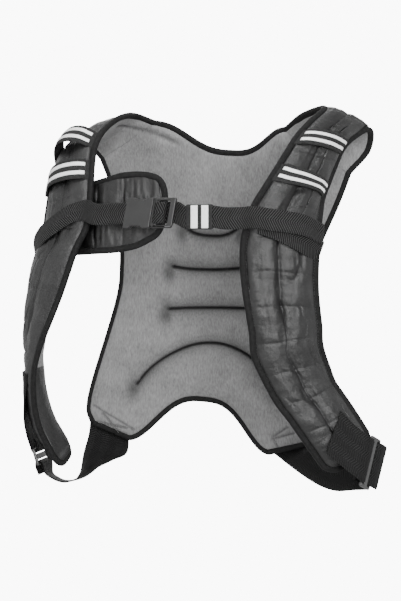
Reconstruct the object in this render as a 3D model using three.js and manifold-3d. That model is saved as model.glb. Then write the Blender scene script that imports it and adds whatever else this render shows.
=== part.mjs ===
import * as THREE from "three";
import Module from "manifold-3d";

// A padded vest that holds weights, as it hangs when worn. Millimetres, Z up, front towards -Y.
// The origin lies between the two shoulder straps, where they rest on the shoulders.

// Overall sizes
const HALF_SPAN = 200;
const HALF_DEPTH = 110;
const DROP = 430;

// Back panel
const PANEL_REACH = 150;
const PANEL_HEIGHT = 370;
const PANEL_DEPTH = 88;
const PANEL_WRAP = 15;
const PANEL_LOFT = 21;
const PANEL_EDGE = 5;
const PANEL_LEAN = 4.5;
const PANEL_OFFSET = -39;
const PANEL_PIVOT = -242;
const SEAM_DEPTH = 7;
const SEAM_SPREAD = 0.1;
const PROFILE_SHARE = 0.6;

// Shoulder straps
const STRAP_WIDTH = 88;
const STRAP_FRONT_LOFT = 12;
const STRAP_BACK_LOFT = 7;
const STRAP_EDGE = 4.4;
const STRAP_CORNER = 20;
const ARM_PADDING = 0.2;
const QUILT_PITCH = 39;
const QUILT_DEPTH = 3;
const QUILT_SEAM_SHARE = 0.45;

// Edge binding
const BINDING_WIDTH = 8;
const BINDING_THICK = 6;
const CLEARANCE = 0.35;
const JOINT_GAP = 3.2;

// Elastic loops and their stripes
const LOOP_WIDTH = 25;
const LOOP_THICK = 1.6;
const LOOP_STAND_OFF = 17;
const STRIPE_WIDTH = 4.6;
const STRIPE_SPACING = 10.5;
const STRIPE_THICK = 0.6;

// Webbing
const CHEST_WEB_WIDTH = 24;
const SIDE_WEB_WIDTH = 50;
const WEB_THICK = 1.8;

// Chest buckle and keeper
const BUCKLE_HEIGHT = 33;
const BUCKLE_THICK = 9;
const SOCKET_LENGTH = 30;
const PLUG_LENGTH = 25;
const BUCKLE_WALL = 2.4;
const BUCKLE_SLANT = 0.18;
const KEEPER_LENGTH = 29;
const KEEPER_WALL = 0.9;
const KEEPER_STRIPE_WIDTH = 7.6;

// Buckle pad and slider
const PAD_THICK = 6;
const PAD_FOLD = 1.4;
const SLIDER_WIDTH = 58;
const SLIDER_LENGTH = 20;
const SLIDER_BAR = 3;

// Panel rows from the hem up, as shares of PANEL_REACH, PANEL_HEIGHT: distance of the outer edge and
// of the inner profile corner from the middle, their heights, the height on the middle line, and how
// far each of the three is set to the right
const PANEL_ROWS = [
  // outer, outerZ, inner, innerZ, midZ, swayOuter, swayInner, swayMid
  [0.915, -0.974, 0.595, -1.016, -0.870, 0, 0, 0],
  [0.953, -0.919, 0.630, -0.919, -0.780, 0, 0, 0],
  [0.927, -0.819, 0.567, -0.838, -0.678, 0, 0, 0],
  [0.800, -0.562, 0.333, -0.565, -0.562, 0, 0, 0],
  [0.793, -0.446, 0.320, -0.438, -0.441, 0.007, 0, 0],
  [0.838, -0.338, 0.260, -0.303, -0.327, 0.027, 0.013, 0.013],
  [0.945, -0.195, 0.420, -0.150, -0.203, 0.060, 0.035, 0.045],
  [1.027, -0.103, 0.513, 0.027, -0.048, 0.060, 0.013, 0.095],
];

// Rows of the panel that a seam runs along, with its share of SEAM_DEPTH and half length as a share of
// the half width
const PANEL_SEAMS = [
  // row, depth, reach
  [2, 1.0, 0.62],
  [3, 1.0, 0.62],
  [4, 1.0, 0.62],
  [5, 0.9, 0.62],
];

// How far back the panel's middle line lies, as shares: height of PANEL_HEIGHT, depth of PANEL_DEPTH
const PANEL_CURVE = [
  // height, depth
  [-1.08, 0.81],
  [-0.89, 0.91],
  [-0.68, 0.98],
  [-0.49, 1.00],
  [-0.30, 0.94],
  [-0.16, 0.83],
  [-0.08, 0.73],
  [0.00, 0.61],
  [0.054, 0.545],
];

// Strap rows from the panel arm over the shoulder and down the front. The medial edge is given as shares
// of HALF_SPAN, HALF_DEPTH and DROP; turn and fall aim the width towards the lateral edge, in degrees
const STRAP_RIGHT = [
  // x, y, z, turn, fall, width
  [0.415, 0.230, 0.037, 25, 27, 1.070],
  [0.565, 0.000, 0.048, 33, 22, 0.780],
  [0.505, -0.309, 0.001, 43, 15, 0.765],
  [0.459, -0.473, -0.036, 45, 12, 0.785],
  [0.416, -0.618, -0.081, 46, 12, 0.830],
  [0.369, -0.745, -0.128, 46, 12, 0.882],
  [0.319, -0.845, -0.174, 42, 9, 0.918],
  [0.268, -0.918, -0.219, 35, 7, 0.970],
  [0.219, -0.964, -0.291, 27, 2, 1.011],
  [0.224, -0.982, -0.444, 29, -1, 0.989],
  [0.243, -0.973, -0.499, 31, -3, 0.977],
  [0.256, -0.945, -0.547, 31, -6, 0.966],
  [0.263, -0.900, -0.606, 30, -10, 0.954],
  [0.292, -0.855, -0.643, 32, -13, 0.932],
  [0.332, -0.809, -0.684, 34, -16, 0.909],
  [0.383, -0.764, -0.729, 36, -19, 0.875],
  [0.441, -0.718, -0.766, 37, -22, 0.852],
  [0.491, -0.673, -0.802, 37, -25, 0.841],
  [0.556, -0.600, -0.850, 36, -29, 0.818],
  [0.625, -0.509, -0.898, 36, -32, 0.795],
  [0.668, -0.470, -0.917, 36, -32, 0.773],
];
const STRAP_LEFT = [
  // x, y, z, turn, fall, width
  [-0.555, 0.291, 0.050, 23, 26, 0.954],
  [-0.582, 0.000, 0.044, 25, 26, 0.853],
  [-0.600, -0.182, 0.031, 28, 24, 0.852],
  [-0.647, -0.436, -0.010, 33, 19, 0.864],
  [-0.666, -0.600, -0.053, 34, 14, 0.886],
  [-0.658, -0.745, -0.109, 33, 11, 0.909],
  [-0.645, -0.882, -0.203, 33, 6, 0.954],
  [-0.656, -0.955, -0.276, 35, 3, 0.988],
  [-0.715, -0.982, -0.333, 39, 1, 0.988],
  [-0.752, -1.000, -0.384, 41, -1, 0.989],
  [-0.803, -1.009, -0.451, 45, -2, 0.977],
  [-0.866, -1.000, -0.518, 52, -4, 0.955],
  [-0.929, -0.964, -0.578, 62, -5, 0.931],
  [-0.981, -0.909, -0.644, 73, -5, 0.897],
  [-1.002, -0.836, -0.716, 79, -5, 0.863],
  [-1.000, -0.782, -0.764, 82, -6, 0.830],
  [-0.983, -0.727, -0.809, 84, -8, 0.795],
  [-0.948, -0.673, -0.851, 85, -10, 0.773],
  [-0.904, -0.618, -0.896, 85, -12, 0.750],
  [-0.880, -0.590, -0.911, 83, -12, 0.728],
];

// Loops: strap length up to the loop at the medial and at the lateral edge as shares of DROP, the share
// of LOOP_STAND_OFF, and the share of the side gap
const LOOPS = [
  // name, side, medial, lateral, standOff, beside
  ["loop_left_upper", "left", 0.300, 0.290, 0.55, 0.15],
  ["loop_left_lower", "left", 0.400, 0.410, 0.25, 0.70],
  ["loop_right_upper", "right", 0.335, 0.325, 0.0, 0.35],
  ["loop_right_lower", "right", 0.460, 0.478, 0.0, 0.35],
];

// Webbing on the straps: length along the strap as a share of DROP, share of the width, and how far
// its middle lies above the padding
const CHEST_LEFT_ON_STRAP = [
  // along, across, lift
  [0.585, 0.955, 7.5],
  [0.566, 0.75, 4.4],
  [0.548, 0.50, 2.6],
  [0.530, 0.26, 2.6],
  [0.518, 0.09, 3.0],
];
const CHEST_RIGHT_ON_STRAP = [
  // along, across, lift
  [0.600, 0.07, 9.2],
  [0.608, 0.28, 8.1],
  [0.617, 0.52, 7.5],
  [0.627, 0.76, 8.0],
  [0.634, 0.93, 10.0],
];
const CHEST_TAIL_ON_STRAP = [
  // along, across, lift
  [0.614, 0.17, 2.3],
  [0.630, 0.36, 3.0],
  [0.652, 0.60, 3.2],
  [0.670, 0.80, 3.6],
  [0.682, 0.94, 5.0],
];

// Places along the chest strap, as shares of HALF_SPAN, HALF_DEPTH and DROP
const CHEST_FREE_LEFT = [
  // x, y, z
  [-0.585, -1.075, -0.243],
  [-0.500, -1.105, -0.243],
];
const BUCKLE_CENTRE = [-0.275, -1.12, -0.242];
const KEEPER_CENTRE = [0.003, -1.118, -0.2535];
const CHEST_FREE_RIGHT = [
  // x, y, z
  [0.126, -1.115, -0.257],
  [0.215, -1.112, -0.258],
];

// Buckle pad edges from the strap inwards, as shares of HALF_SPAN, HALF_DEPTH and DROP
const PAD_COLUMNS = [
  // topX, topY, topZ, bottomX, bottomY, bottomZ
  [-0.635, -0.76, -0.150, -0.725, -0.76, -0.345],
  [-0.555, -0.86, -0.142, -0.620, -0.90, -0.344],
  [-0.467, -0.90, -0.133, -0.500, -0.92, -0.341],
  [-0.379, -0.91, -0.131, -0.390, -0.93, -0.332],
  [-0.310, -0.92, -0.134, -0.320, -0.93, -0.318],
  [-0.253, -0.92, -0.145, -0.262, -0.93, -0.300],
  [-0.205, -0.92, -0.175, -0.215, -0.93, -0.262],
];

// Lower webbing: its two edges from the panel corner to the slider, as shares of HALF_SPAN, HALF_DEPTH
// and DROP
const SIDE_WEB_LEFT = [
  // nearX, nearY, nearZ, farX, farY, farZ
  [-0.932, 0.665, -0.805, -0.695, 0.715, -0.850],
  [-0.935, 0.620, -0.843, -0.690, 0.690, -0.874],
  [-0.938, 0.480, -0.885, -0.690, 0.580, -0.897],
  [-0.925, 0.33, -0.912, -0.735, 0.46, -0.908],
  [-0.898, 0.13, -0.932, -0.825, 0.44, -0.926],
  [-0.866, -0.20, -0.945, -0.872, 0.24, -0.948],
  [-0.880, -0.46, -0.948, -0.915, 0.00, -0.956],
  [-0.922, -0.56, -0.940, -0.965, -0.10, -0.952],
  [-0.980, -0.575, -0.924, -1.020, -0.12, -0.935],
];
const SIDE_WEB_RIGHT = [
  // nearX, nearY, nearZ, farX, farY, farZ
  [0.185, 0.730, -0.880, 0.405, 0.710, -0.848],
  [0.262, 0.665, -0.903, 0.455, 0.715, -0.848],
  [0.380, 0.455, -0.930, 0.553, 0.400, -0.850],
  [0.525, 0.205, -0.957, 0.663, 0.210, -0.860],
  [0.645, 0.030, -0.966, 0.765, 0.090, -0.860],
  [0.755, -0.110, -0.958, 0.848, 0.020, -0.854],
  [0.840, -0.230, -0.952, 0.900, -0.070, -0.846],
];

// Tongues: the left one as strap length and share of the width, the right one as its two edges
const TONGUE_LEFT = [
  // along, across, lift
  [0.980, 0.13, 1.3],
  [1.005, 0.13, 1.3],
  [1.030, 0.13, 1.3],
  [1.055, 0.13, 1.4],
  [1.080, 0.13, 1.8],
];
const TONGUE_RIGHT = [
  // topX, topY, topZ, bottomX, bottomY, bottomZ
  [0.716, -0.502, -0.743, 0.653, -0.682, -0.849],
  [0.793, -0.482, -0.780, 0.741, -0.642, -0.884],
];

// Sliders: middle as shares, direction from the tongue to the webbing, direction of the width
const SLIDER_LEFT = { at: [-1.050, -0.340, -0.880], run: [0.30, 0.00, -0.95], wide: [-0.10, 0.99, 0.00] };
const SLIDER_RIGHT = { at: [0.868, -0.380, -0.878], run: [0.35, 0.85, -0.38], wide: [-0.19, -0.305, -0.93] };

const wasm = await Module();
wasm.setup();

const V = (x, y, z) => new THREE.Vector3(x, y, z);
const shared = ([x, y, z]) => V(x * HALF_SPAN, y * HALF_DEPTH, z * DROP);
const along = (p, ...steps) => {
  const out = p.clone();
  for (let i = 0; i < steps.length; i += 2) out.addScaledVector(steps[i], steps[i + 1]);
  return out;
};
const lerp = (a, b, t) => a + (b - a) * t;
const clamp01 = (t) => Math.min(1, Math.max(0, t));
const smooth = (t) => clamp01(t) ** 2 * (3 - 2 * clamp01(t));
const range = (n, f) => Array.from({ length: n }, (_, i) => f(i));
const bell = (d, spread) => Math.exp(-((d / spread) ** 2));

// A smooth curve through rows of columns, one knot for each row
function curve(knots, rows) {
  const n = rows.length;
  const rise = (i, c) => (rows[i + 1][c] - rows[i][c]) / (knots[i + 1] - knots[i]);
  const slope = (i, c) => {
    if (i === 0) return rise(0, c);
    if (i === n - 1) return rise(n - 2, c);
    const before = knots[i] - knots[i - 1];
    const after = knots[i + 1] - knots[i];
    return (rise(i, c) * before + rise(i - 1, c) * after) / (before + after);
  };
  return (x) => {
    let i = 0;
    while (i < n - 2 && x > knots[i + 1]) i++;
    const h = knots[i + 1] - knots[i];
    const t = clamp01((x - knots[i]) / h);
    const t2 = t * t;
    const t3 = t2 * t;
    return rows[0].map(
      (_, c) =>
        rows[i][c] * (2 * t3 - 3 * t2 + 1) +
        slope(i, c) * h * (t3 - 2 * t2 + t) +
        rows[i + 1][c] * (3 * t2 - 2 * t3) +
        slope(i + 1, c) * h * (t3 - t2),
    );
  };
}

// Meshes
const group = new THREE.Group();
const cloth = (color, roughness) =>
  new THREE.MeshStandardMaterial({ color, roughness, metalness: 0 });
const NEOPRENE = cloth(0x7d7d7d, 0.9);
const NYLON = cloth(0x2b2b2d, 0.55);
const TRIM = cloth(0x151516, 0.75);
const ELASTIC = cloth(0x1f1f21, 0.8);
const WEBBING = cloth(0x242426, 0.7);
const REFLECTIVE = cloth(0xe6e6e6, 0.4);
const PLASTIC = cloth(0x1c1c1e, 0.45);

function body(points, triangles) {
  const g = new THREE.BufferGeometry();
  g.setAttribute("position", new THREE.Float32BufferAttribute(points.flatMap((p) => p.toArray()), 3));
  g.setIndex(triangles);
  g.computeVertexNormals();
  let volume = 0;
  for (let i = 0; i < triangles.length; i += 3) {
    const [a, b, c] = [0, 1, 2].map((k) => points[triangles[i + k]]);
    volume += a.dot(b.clone().cross(c));
  }
  if (volume < 0) for (let i = 0; i < triangles.length; i += 3) triangles.splice(i, 2, triangles[i + 1], triangles[i]);
  g.setIndex(triangles);
  g.computeVertexNormals();
  return g;
}
function put(name, geometry, material) {
  const mesh = new THREE.Mesh(geometry, material);
  mesh.name = name;
  group.add(mesh);
}

// A closed body between two grids of points of the same size
function slab(top, bottom) {
  const rows = top.length;
  const cols = top[0].length;
  const points = [...top.flat(), ...bottom.flat()];
  const at = (side, i, j) => side * rows * cols + i * cols + j;
  const faces = [];
  const quad = (a, b, c, d) => faces.push(a, b, c, a, c, d);
  for (let i = 0; i < rows - 1; i++) {
    for (let j = 0; j < cols - 1; j++) {
      quad(at(0, i, j), at(0, i, j + 1), at(0, i + 1, j + 1), at(0, i + 1, j));
      quad(at(1, i, j), at(1, i + 1, j), at(1, i + 1, j + 1), at(1, i, j + 1));
    }
    quad(at(0, i, 0), at(0, i + 1, 0), at(1, i + 1, 0), at(1, i, 0));
    quad(at(0, i, cols - 1), at(1, i, cols - 1), at(1, i + 1, cols - 1), at(0, i + 1, cols - 1));
  }
  for (let j = 0; j < cols - 1; j++) {
    quad(at(0, 0, j), at(1, 0, j), at(1, 0, j + 1), at(0, 0, j + 1));
    quad(at(0, rows - 1, j), at(0, rows - 1, j + 1), at(1, rows - 1, j + 1), at(1, rows - 1, j));
  }
  return body(points, faces);
}

// A closed body through rings of points
function loft(rings) {
  const n = rings[0].length;
  const points = rings.flat();
  const faces = [];
  for (let i = 0; i < rings.length - 1; i++)
    for (let j = 0; j < n; j++) {
      const k = (j + 1) % n;
      faces.push(i * n + j, i * n + k, (i + 1) * n + k, i * n + j, (i + 1) * n + k, (i + 1) * n + j);
    }
  const last = (rings.length - 1) * n;
  for (let j = 1; j < n - 1; j++) faces.push(0, j + 1, j, last, last + j, last + j + 1);
  return body(points, faces);
}

const tangents = (path) =>
  path.map((_, i) =>
    path[Math.min(i + 1, path.length - 1)].clone().sub(path[Math.max(i - 1, 0)]).normalize(),
  );

// Drops a length from both ends of a path of points and normals
function trimmed(path, normals, start, end) {
  const cut = (p, n, length) => {
    while (p.length > 2 && p[0].distanceTo(p[1]) < length) {
      length -= p[0].distanceTo(p[1]);
      p.shift();
      n.shift();
    }
    p[0] = p[0].clone().lerp(p[1], length / p[0].distanceTo(p[1]));
  };
  const p = [...path];
  const n = [...normals];
  cut(p, n, start);
  p.reverse();
  n.reverse();
  cut(p, n, end);
  p.reverse();
  n.reverse();
  return [p, n];
}

// A rounded bar along a path
function bar([path, normals], width = BINDING_WIDTH, thick = BINDING_THICK) {
  const t = tangents(path);
  const rings = path.map((p, i) => {
    const side = t[i].clone().cross(normals[i]).normalize();
    const up = side.clone().cross(t[i]).normalize();
    return [[-0.5, 0], [-0.27, 0.5], [0.27, 0.5], [0.5, 0], [0.27, -0.5], [-0.27, -0.5]].map(([a, b]) =>
      along(p, side, a * width, up, b * thick),
    );
  });
  return loft(rings);
}

// A flat band between two edge lines
function band(near, far, thick) {
  const mids = near.map((p, i) => p.clone().lerp(far[i], 0.5));
  const t = tangents(mids);
  const up = near.map((p, i) => far[i].clone().sub(p).cross(t[i]).normalize());
  const side = (s) => near.map((p, i) => [along(p, up[i], s), along(far[i], up[i], s)]);
  return slab(side(thick / 2), side(-thick / 2));
}

// The end of a band taken round a bar: points from the side facing n, round the tip along a, and back
const hooked = (centre, a, n, reach, back) => [
  along(centre, n, reach, a, -reach),
  along(centre, n, reach),
  along(centre, n, reach * 0.7, a, reach * 0.7),
  along(centre, a, reach),
  along(centre, n, -reach * 0.7, a, reach * 0.7),
  along(centre, n, -reach),
  along(centre, n, -reach, a, -back),
];

// Back panel surface
const panelRow = curve(range(PANEL_ROWS.length, (i) => i), PANEL_ROWS);
const panelBack = curve(PANEL_CURVE.map((r) => r[0]), PANEL_CURVE.map((r) => [r[1]]));
const TOP_ROW = PANEL_ROWS.length - 1;

function panelFlat(u, v) {
  const [outer, outerZ, inner, innerZ, midZ, swayOuter, swayInner, swayMid] = panelRow(v);
  const side = Math.sign(u);
  const a = Math.min(1, Math.abs(u) / PROFILE_SHARE);
  const b = clamp01((Math.abs(u) - PROFILE_SHARE) / (1 - PROFILE_SHARE));
  const wave = ((1 - Math.cos(Math.PI * a)) / 2) ** 1.55;
  const ease = lerp(a * a, wave, smooth(Math.max(1 - v / 1.5, (v - TOP_ROW + 1.5) / 1.5)));
  const x = b > 0 ? lerp(inner, outer, b) : inner * a;
  const z = b > 0 ? lerp(innerZ, outerZ, b) : lerp(midZ, innerZ, ease);
  const sway = b > 0 ? lerp(swayInner, swayOuter, b) : lerp(swayMid, swayInner, a * a);
  return [(side * x + sway) * PANEL_REACH, z * PANEL_HEIGHT];
}

// The flat shape with its free edges drawn in by an inset
function panelInset(u, v, inset, sideInset = inset) {
  let [x, z] = panelFlat(u, v);
  const e = 0.01;
  const hem = clamp01(1 - v);
  const neck = clamp01(v - TOP_ROW + 1);
  const low = panelFlat(Math.max(u - e, -1), v);
  const high = panelFlat(Math.min(u + e, 1), v);
  const length = Math.hypot(high[0] - low[0], high[1] - low[1]);
  const outside = Math.abs(u) > PROFILE_SHARE + 1e-6;
  const step = outside && neck > 0 ? hem : hem - neck;
  x += (-(high[1] - low[1]) / length) * inset * step;
  z += ((high[0] - low[0]) / length) * inset * step;
  const side = u < 0 ? -1 : 1;
  const out = panelFlat(side, v);
  const edge = Math.abs(u) ** 2 * sideInset * 1.06;
  const inner = panelFlat(side * PROFILE_SHARE, v);
  const span = Math.hypot(out[0] - inner[0], out[1] - inner[1]);
  x -= ((out[0] - inner[0]) / span) * edge;
  z -= ((out[1] - inner[1]) / span) * edge;
  if (outside && neck > 0) {
    const back = 1 - clamp01((Math.abs(u) - PROFILE_SHARE) / (1 - PROFILE_SHARE));
    x += ((out[0] - inner[0]) / span) * inset * back * neck;
    z += ((out[1] - inner[1]) / span) * inset * back * neck;
  }
  return [x, z];
}

function panelPoint(x, z) {
  const lean = THREE.MathUtils.degToRad(PANEL_LEAN);
  const up = z - PANEL_PIVOT;
  const depth = panelBack(z / PANEL_HEIGHT)[0] * PANEL_DEPTH - PANEL_WRAP * (x / PANEL_REACH) ** 2;
  return V(
    PANEL_OFFSET + x * Math.cos(lean) + up * Math.sin(lean),
    depth,
    PANEL_PIVOT + up * Math.cos(lean) - x * Math.sin(lean),
  );
}

// The normal points to the front
function panelNormal(x, z) {
  const du = panelPoint(x + 1, z).sub(panelPoint(x - 1, z));
  const dv = panelPoint(x, z + 1).sub(panelPoint(x, z - 1));
  return du.cross(dv).normalize();
}

function panelThickness(u, v) {
  const b = clamp01((Math.abs(u) - PROFILE_SHARE) / (1 - PROFILE_SHARE));
  const sides = (1 - Math.abs(u) ** 5) ** 0.5;
  const ends = Math.sqrt(clamp01(v / 0.9) * clamp01((TOP_ROW - v) / 0.8));
  const arm = 0.5 * Math.sin(Math.PI * b) ** 0.6 * smooth(v - TOP_ROW + 1.2);
  const full = Math.max(sides * ends, arm);
  const seams = PANEL_SEAMS.reduce(
    (sum, [row, depth, reach]) =>
      sum + depth * bell(v - row, SEAM_SPREAD) * (1 - smooth((Math.abs(u) - reach + 0.08) / 0.12)),
    0,
  );
  const loft = (PANEL_LOFT - PANEL_EDGE) * full;
  return [
    PANEL_EDGE / 2 + loft * 0.6 - seams * SEAM_DEPTH * Math.min(1, full),
    PANEL_EDGE / 2 + loft * 0.4,
  ];
}

const PANEL_U = [0, 0.16, 0.32, 0.46, 0.54, 0.6, 0.66, 0.76, 0.88, 1];
const PANEL_V = [
  0, 0.3, 0.65, 1, 1.4, 1.78, 1.92, 2, 2.08, 2.22, 2.5, 2.78, 2.92, 3, 3.08, 3.3, 3.5, 3.7, 3.92, 4, 4.08, 4.3,
  4.5, 4.7, 4.92, 5, 5.08, 5.3, 5.6, 6, 6.35, 6.7, 7,
];
const bodyInset = BINDING_WIDTH + CLEARANCE;
const panelBodyInset = bodyInset + 1.3;
const panelColumns = [...PANEL_U.slice(1).map((u) => -u).reverse(), ...PANEL_U];
const panelGrid = (side) =>
  PANEL_V.map((v) =>
    panelColumns.map((u) => {
      const [x, z] = panelInset(u, v, panelBodyInset, bodyInset);
      const thickness = panelThickness(u, v);
      return along(panelPoint(x, z), panelNormal(x, z), side > 0 ? thickness[0] : -thickness[1]);
    }),
  );
put("back_panel", slab(panelGrid(1), panelGrid(-1)), NEOPRENE);

// Panel binding
function panelEdge(stations) {
  const flat = stations.map(([u, v]) => panelInset(u, v, BINDING_WIDTH / 2));
  return [flat.map(([x, z]) => panelPoint(x, z)), flat.map(([x, z]) => panelNormal(x, z))];
}
const edgeSteps = (n, from, to) => range(n, (i) => lerp(from, to, i / (n - 1)));
put(
  "binding_neck",
  bar(trimmed(...panelEdge(panelColumns.filter((u) => Math.abs(u) <= PROFILE_SHARE).map((u) => [u, TOP_ROW])), 8.5, 8.5)),
  TRIM,
);
put("binding_hem", bar(trimmed(...panelEdge(panelColumns.map((u) => [u, 0])), 0, 0)), TRIM);
for (const [name, side] of [["left", -1], ["right", 1]])
  put(
    "binding_side_" + name,
    bar(trimmed(...panelEdge(PANEL_V.map((v) => [side, v])), 7, 3)),
    TRIM,
  );

// Shoulder straps
function strapCourse(side, rows) {
  const [cornerX, cornerZ] = panelFlat(side * PROFILE_SHARE, TOP_ROW);
  const [outerX, outerZ] = panelFlat(side, TOP_ROW);
  const root = panelPoint(cornerX, cornerZ);
  const reach = panelPoint(outerX, outerZ).sub(root);
  const stations = [
    { m: root, w: reach },
    ...rows.map(([x, y, z, turn, fall, width]) => {
      const a = THREE.MathUtils.degToRad(turn);
      const b = THREE.MathUtils.degToRad(fall);
      const w = V(side * Math.cos(b) * Math.cos(a), Math.cos(b) * Math.sin(a), -Math.sin(b));
      return { m: shared([x, y, z]), w: w.multiplyScalar(width * STRAP_WIDTH) };
    }),
  ];
  const knots = [0];
  for (let i = 1; i < stations.length; i++) knots.push(knots[i - 1] + stations[i].m.distanceTo(stations[i - 1].m));
  const line = curve(knots, stations.map((s) => [...s.m.toArray(), ...s.w.toArray()]));
  const length = knots[knots.length - 1];
  const at = (s) => {
    const [a, b, c, d, e, f] = line(s);
    return { m: V(a, b, c), w: V(d, e, f) };
  };
  const frame = (s, share) => {
    const here = at(s);
    const before = at(Math.max(0, s - 4));
    const after = at(Math.min(length, s + 4));
    const edge = (q) => along(q.m, q.w, share);
    const t = edge(after).sub(edge(before)).normalize();
    const across = here.w.clone().normalize();
    const n = t.clone().cross(across).multiplyScalar(side).normalize();
    return { origin: here.m, across, n, t, width: here.w.length() };
  };
  return { side, length, frame };
}
const straps = { left: strapCourse(-1, STRAP_LEFT), right: strapCourse(1, STRAP_RIGHT) };

// A point of a strap: length along it, distance from the medial edge, height over its middle surface
function strapPoint(strap, s, u, h) {
  const width = strap.frame(s, 0).width;
  const f = strap.frame(s, clamp01(u / width));
  return along(f.origin, f.across, u, f.n, h);
}

// A distance from an edge of a strap, turned into a distance along the strap's width
function acrossFrom(strap, s, share, distance) {
  const f = strap.frame(s, share);
  return distance / Math.sqrt(1 - f.t.dot(f.across) ** 2);
}

// Height of the padding without the quilting
function strapSwell(share) {
  const inside = clamp01((share - 0.08) / 0.84);
  return Math.sin(Math.PI * inside) ** 0.55;
}
const strapTop = (share) => STRAP_EDGE / 2 + STRAP_FRONT_LOFT * strapSwell(share);

const STRAP_COLUMNS = [0, 0.1, 0.24, 0.38, 0.45, 0.52, 0.68, 0.86, 1];
function strapStops(strap) {
  const stops = [JOINT_GAP];
  for (let s = 8; s < strap.length - STRAP_CORNER - 6; s += QUILT_PITCH / 3) stops.push(s);
  return stops;
}
function strapBody(strap) {
  const end = strap.length - bodyInset - 1.2;
  const bend = strap.length - STRAP_CORNER;
  const stops = [...strapStops(strap), bend, bend + 5, bend + 9, end];
  const radius = STRAP_CORNER - bodyInset;
  const grid = (face) =>
    stops.map((s) => {
      const round = Math.max(0, s - bend);
      const inset = STRAP_CORNER - Math.sqrt(Math.max(0, radius ** 2 - round ** 2)) + 1.1;
      const near = acrossFrom(strap, s, 0, inset);
      const far = acrossFrom(strap, s, 1, inset);
      const width = strap.frame(s, 0).width;
      const fade = 1 - 0.8 * smooth((round - 2) / 10);
      const row = (((s - 8) % QUILT_PITCH) + QUILT_PITCH) % QUILT_PITCH;
      const gather = bell(Math.min(row, QUILT_PITCH - row), 5);
      return STRAP_COLUMNS.map((c) => {
        const u = lerp(near, width - far, c);
        const share = u / width;
        const dip = QUILT_DEPTH * Math.max(gather, bell(c - QUILT_SEAM_SHARE, 0.05));
        const swell = strapSwell(share) * fade * (ARM_PADDING + (1 - ARM_PADDING) * smooth((s - 45) / 75));
        const front = STRAP_EDGE / 2 + STRAP_FRONT_LOFT * swell - dip * Math.min(1, swell);
        const back = STRAP_EDGE / 2 + STRAP_BACK_LOFT * swell;
        return strapPoint(strap, s, u, face > 0 ? front : -back);
      });
    });
  return slab(grid(1), grid(-1));
}

function strapBinding(strap) {
  const path = [];
  const normals = [];
  const add = (s, u) => {
    const width = strap.frame(s, 0).width;
    path.push(strapPoint(strap, s, u, 0));
    normals.push(strap.frame(s, clamp01(u / width)).n);
  };
  const bend = strap.length - STRAP_CORNER;
  const half = BINDING_WIDTH / 2;
  const radius = STRAP_CORNER - half;
  const stops = strapStops(strap);
  const lastWidth = strap.frame(strap.length - half, 0).width;
  for (const s of stops) add(s, acrossFrom(strap, s, 0, half));
  for (const a of [0, 30, 60, 90]) {
    const angle = THREE.MathUtils.degToRad(a);
    add(bend + radius * Math.sin(angle), STRAP_CORNER - radius * Math.cos(angle));
  }
  for (const a of [90, 60, 30, 0]) {
    const angle = THREE.MathUtils.degToRad(a);
    const s = bend + radius * Math.sin(angle);
    add(s, lerp(lastWidth, strap.frame(s, 0).width, 0.5) - STRAP_CORNER + radius * Math.cos(angle));
  }
  for (const s of [...stops].reverse()) add(s, strap.frame(s, 0).width - acrossFrom(strap, s, 1, half));
  return bar([path, normals]);
}

for (const [name, strap] of Object.entries(straps)) {
  put("strap_" + name, strapBody(strap), NYLON);
  put("binding_strap_" + name, strapBinding(strap), TRIM);
}

// Elastic loops
const LOOP_PATH = [
  // share of the width, distance beyond the edge, share of the height
  [0, -2.9, -1.4],
  [0, -2.9, 0.6],
  [0.05, -1, 0.72],
  [0.2, 0, 1],
  [0.4, 0, 1],
  [0.6, 0, 1],
  [0.8, 0, 1],
  [0.95, 1, 0.72],
  [1, 2.9, 0.6],
  [1, 2.9, -1.4],
];

function loopGrid(strap, [, , medial, lateral, standOff, beside], offsets, from, to, height) {
  return LOOP_PATH.slice(from, to).map(([share, beyond, level]) => {
    const s = lerp(medial, lateral, share) * DROP;
    return offsets.map((o) => {
      const width = strap.frame(s + o, 0).width;
      const arch = LOOP_STAND_OFF * standOff * Math.sin(Math.PI * clamp01(share));
      if (level < 0.7)
        return strapPoint(
          strap,
          s + o,
          share * width + beyond * beside + Math.sign(beyond) * height,
          level * 5 + arch,
        );
      return strapPoint(strap, s + o, share * width + beyond, strapTop(clamp01(share)) + 1.6 + height + arch);
    });
  });
}

for (const row of LOOPS) {
  const name = row[0];
  const strap = straps[row[1]];
  const offsets = [-LOOP_WIDTH / 2, 0, LOOP_WIDTH / 2];
  const grid = (height) => loopGrid(strap, row, offsets, 0, LOOP_PATH.length, height);
  put(name, slab(grid(LOOP_THICK), grid(0)), ELASTIC);
  for (const [word, place] of [["top", -1], ["bottom", 1]]) {
    const middle = (place * STRIPE_SPACING) / 2;
    const edges = [middle - STRIPE_WIDTH / 2, middle + STRIPE_WIDTH / 2];
    const line = (height) => loopGrid(strap, row, edges, 2, 8, height);
    const base = LOOP_THICK + CLEARANCE;
    put(name + "_stripe_" + word, slab(line(base + STRIPE_THICK), line(base)), REFLECTIVE);
  }
}

// Chest webbing
const onStrap = (strap, rows) =>
  rows.map(([s, share, lift]) => {
    const f = strap.frame(s * DROP, share);
    return { p: along(f.origin, f.across, share * f.width, f.n, strapTop(share) + lift), n: f.n };
  });
const FRONT = V(0, -1, 0);
const free = (rows) => rows.map((r) => ({ p: shared(r), n: FRONT }));
function strip(stations, width) {
  const t = tangents(stations.map((q) => q.p));
  const across = stations.map((q, i) => q.across || t[i].clone().cross(q.n).normalize());
  return band(
    stations.map((q, i) => along(q.p, across[i], width / 2)),
    stations.map((q, i) => along(q.p, across[i], -width / 2)),
    WEB_THICK,
  );
}

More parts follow.
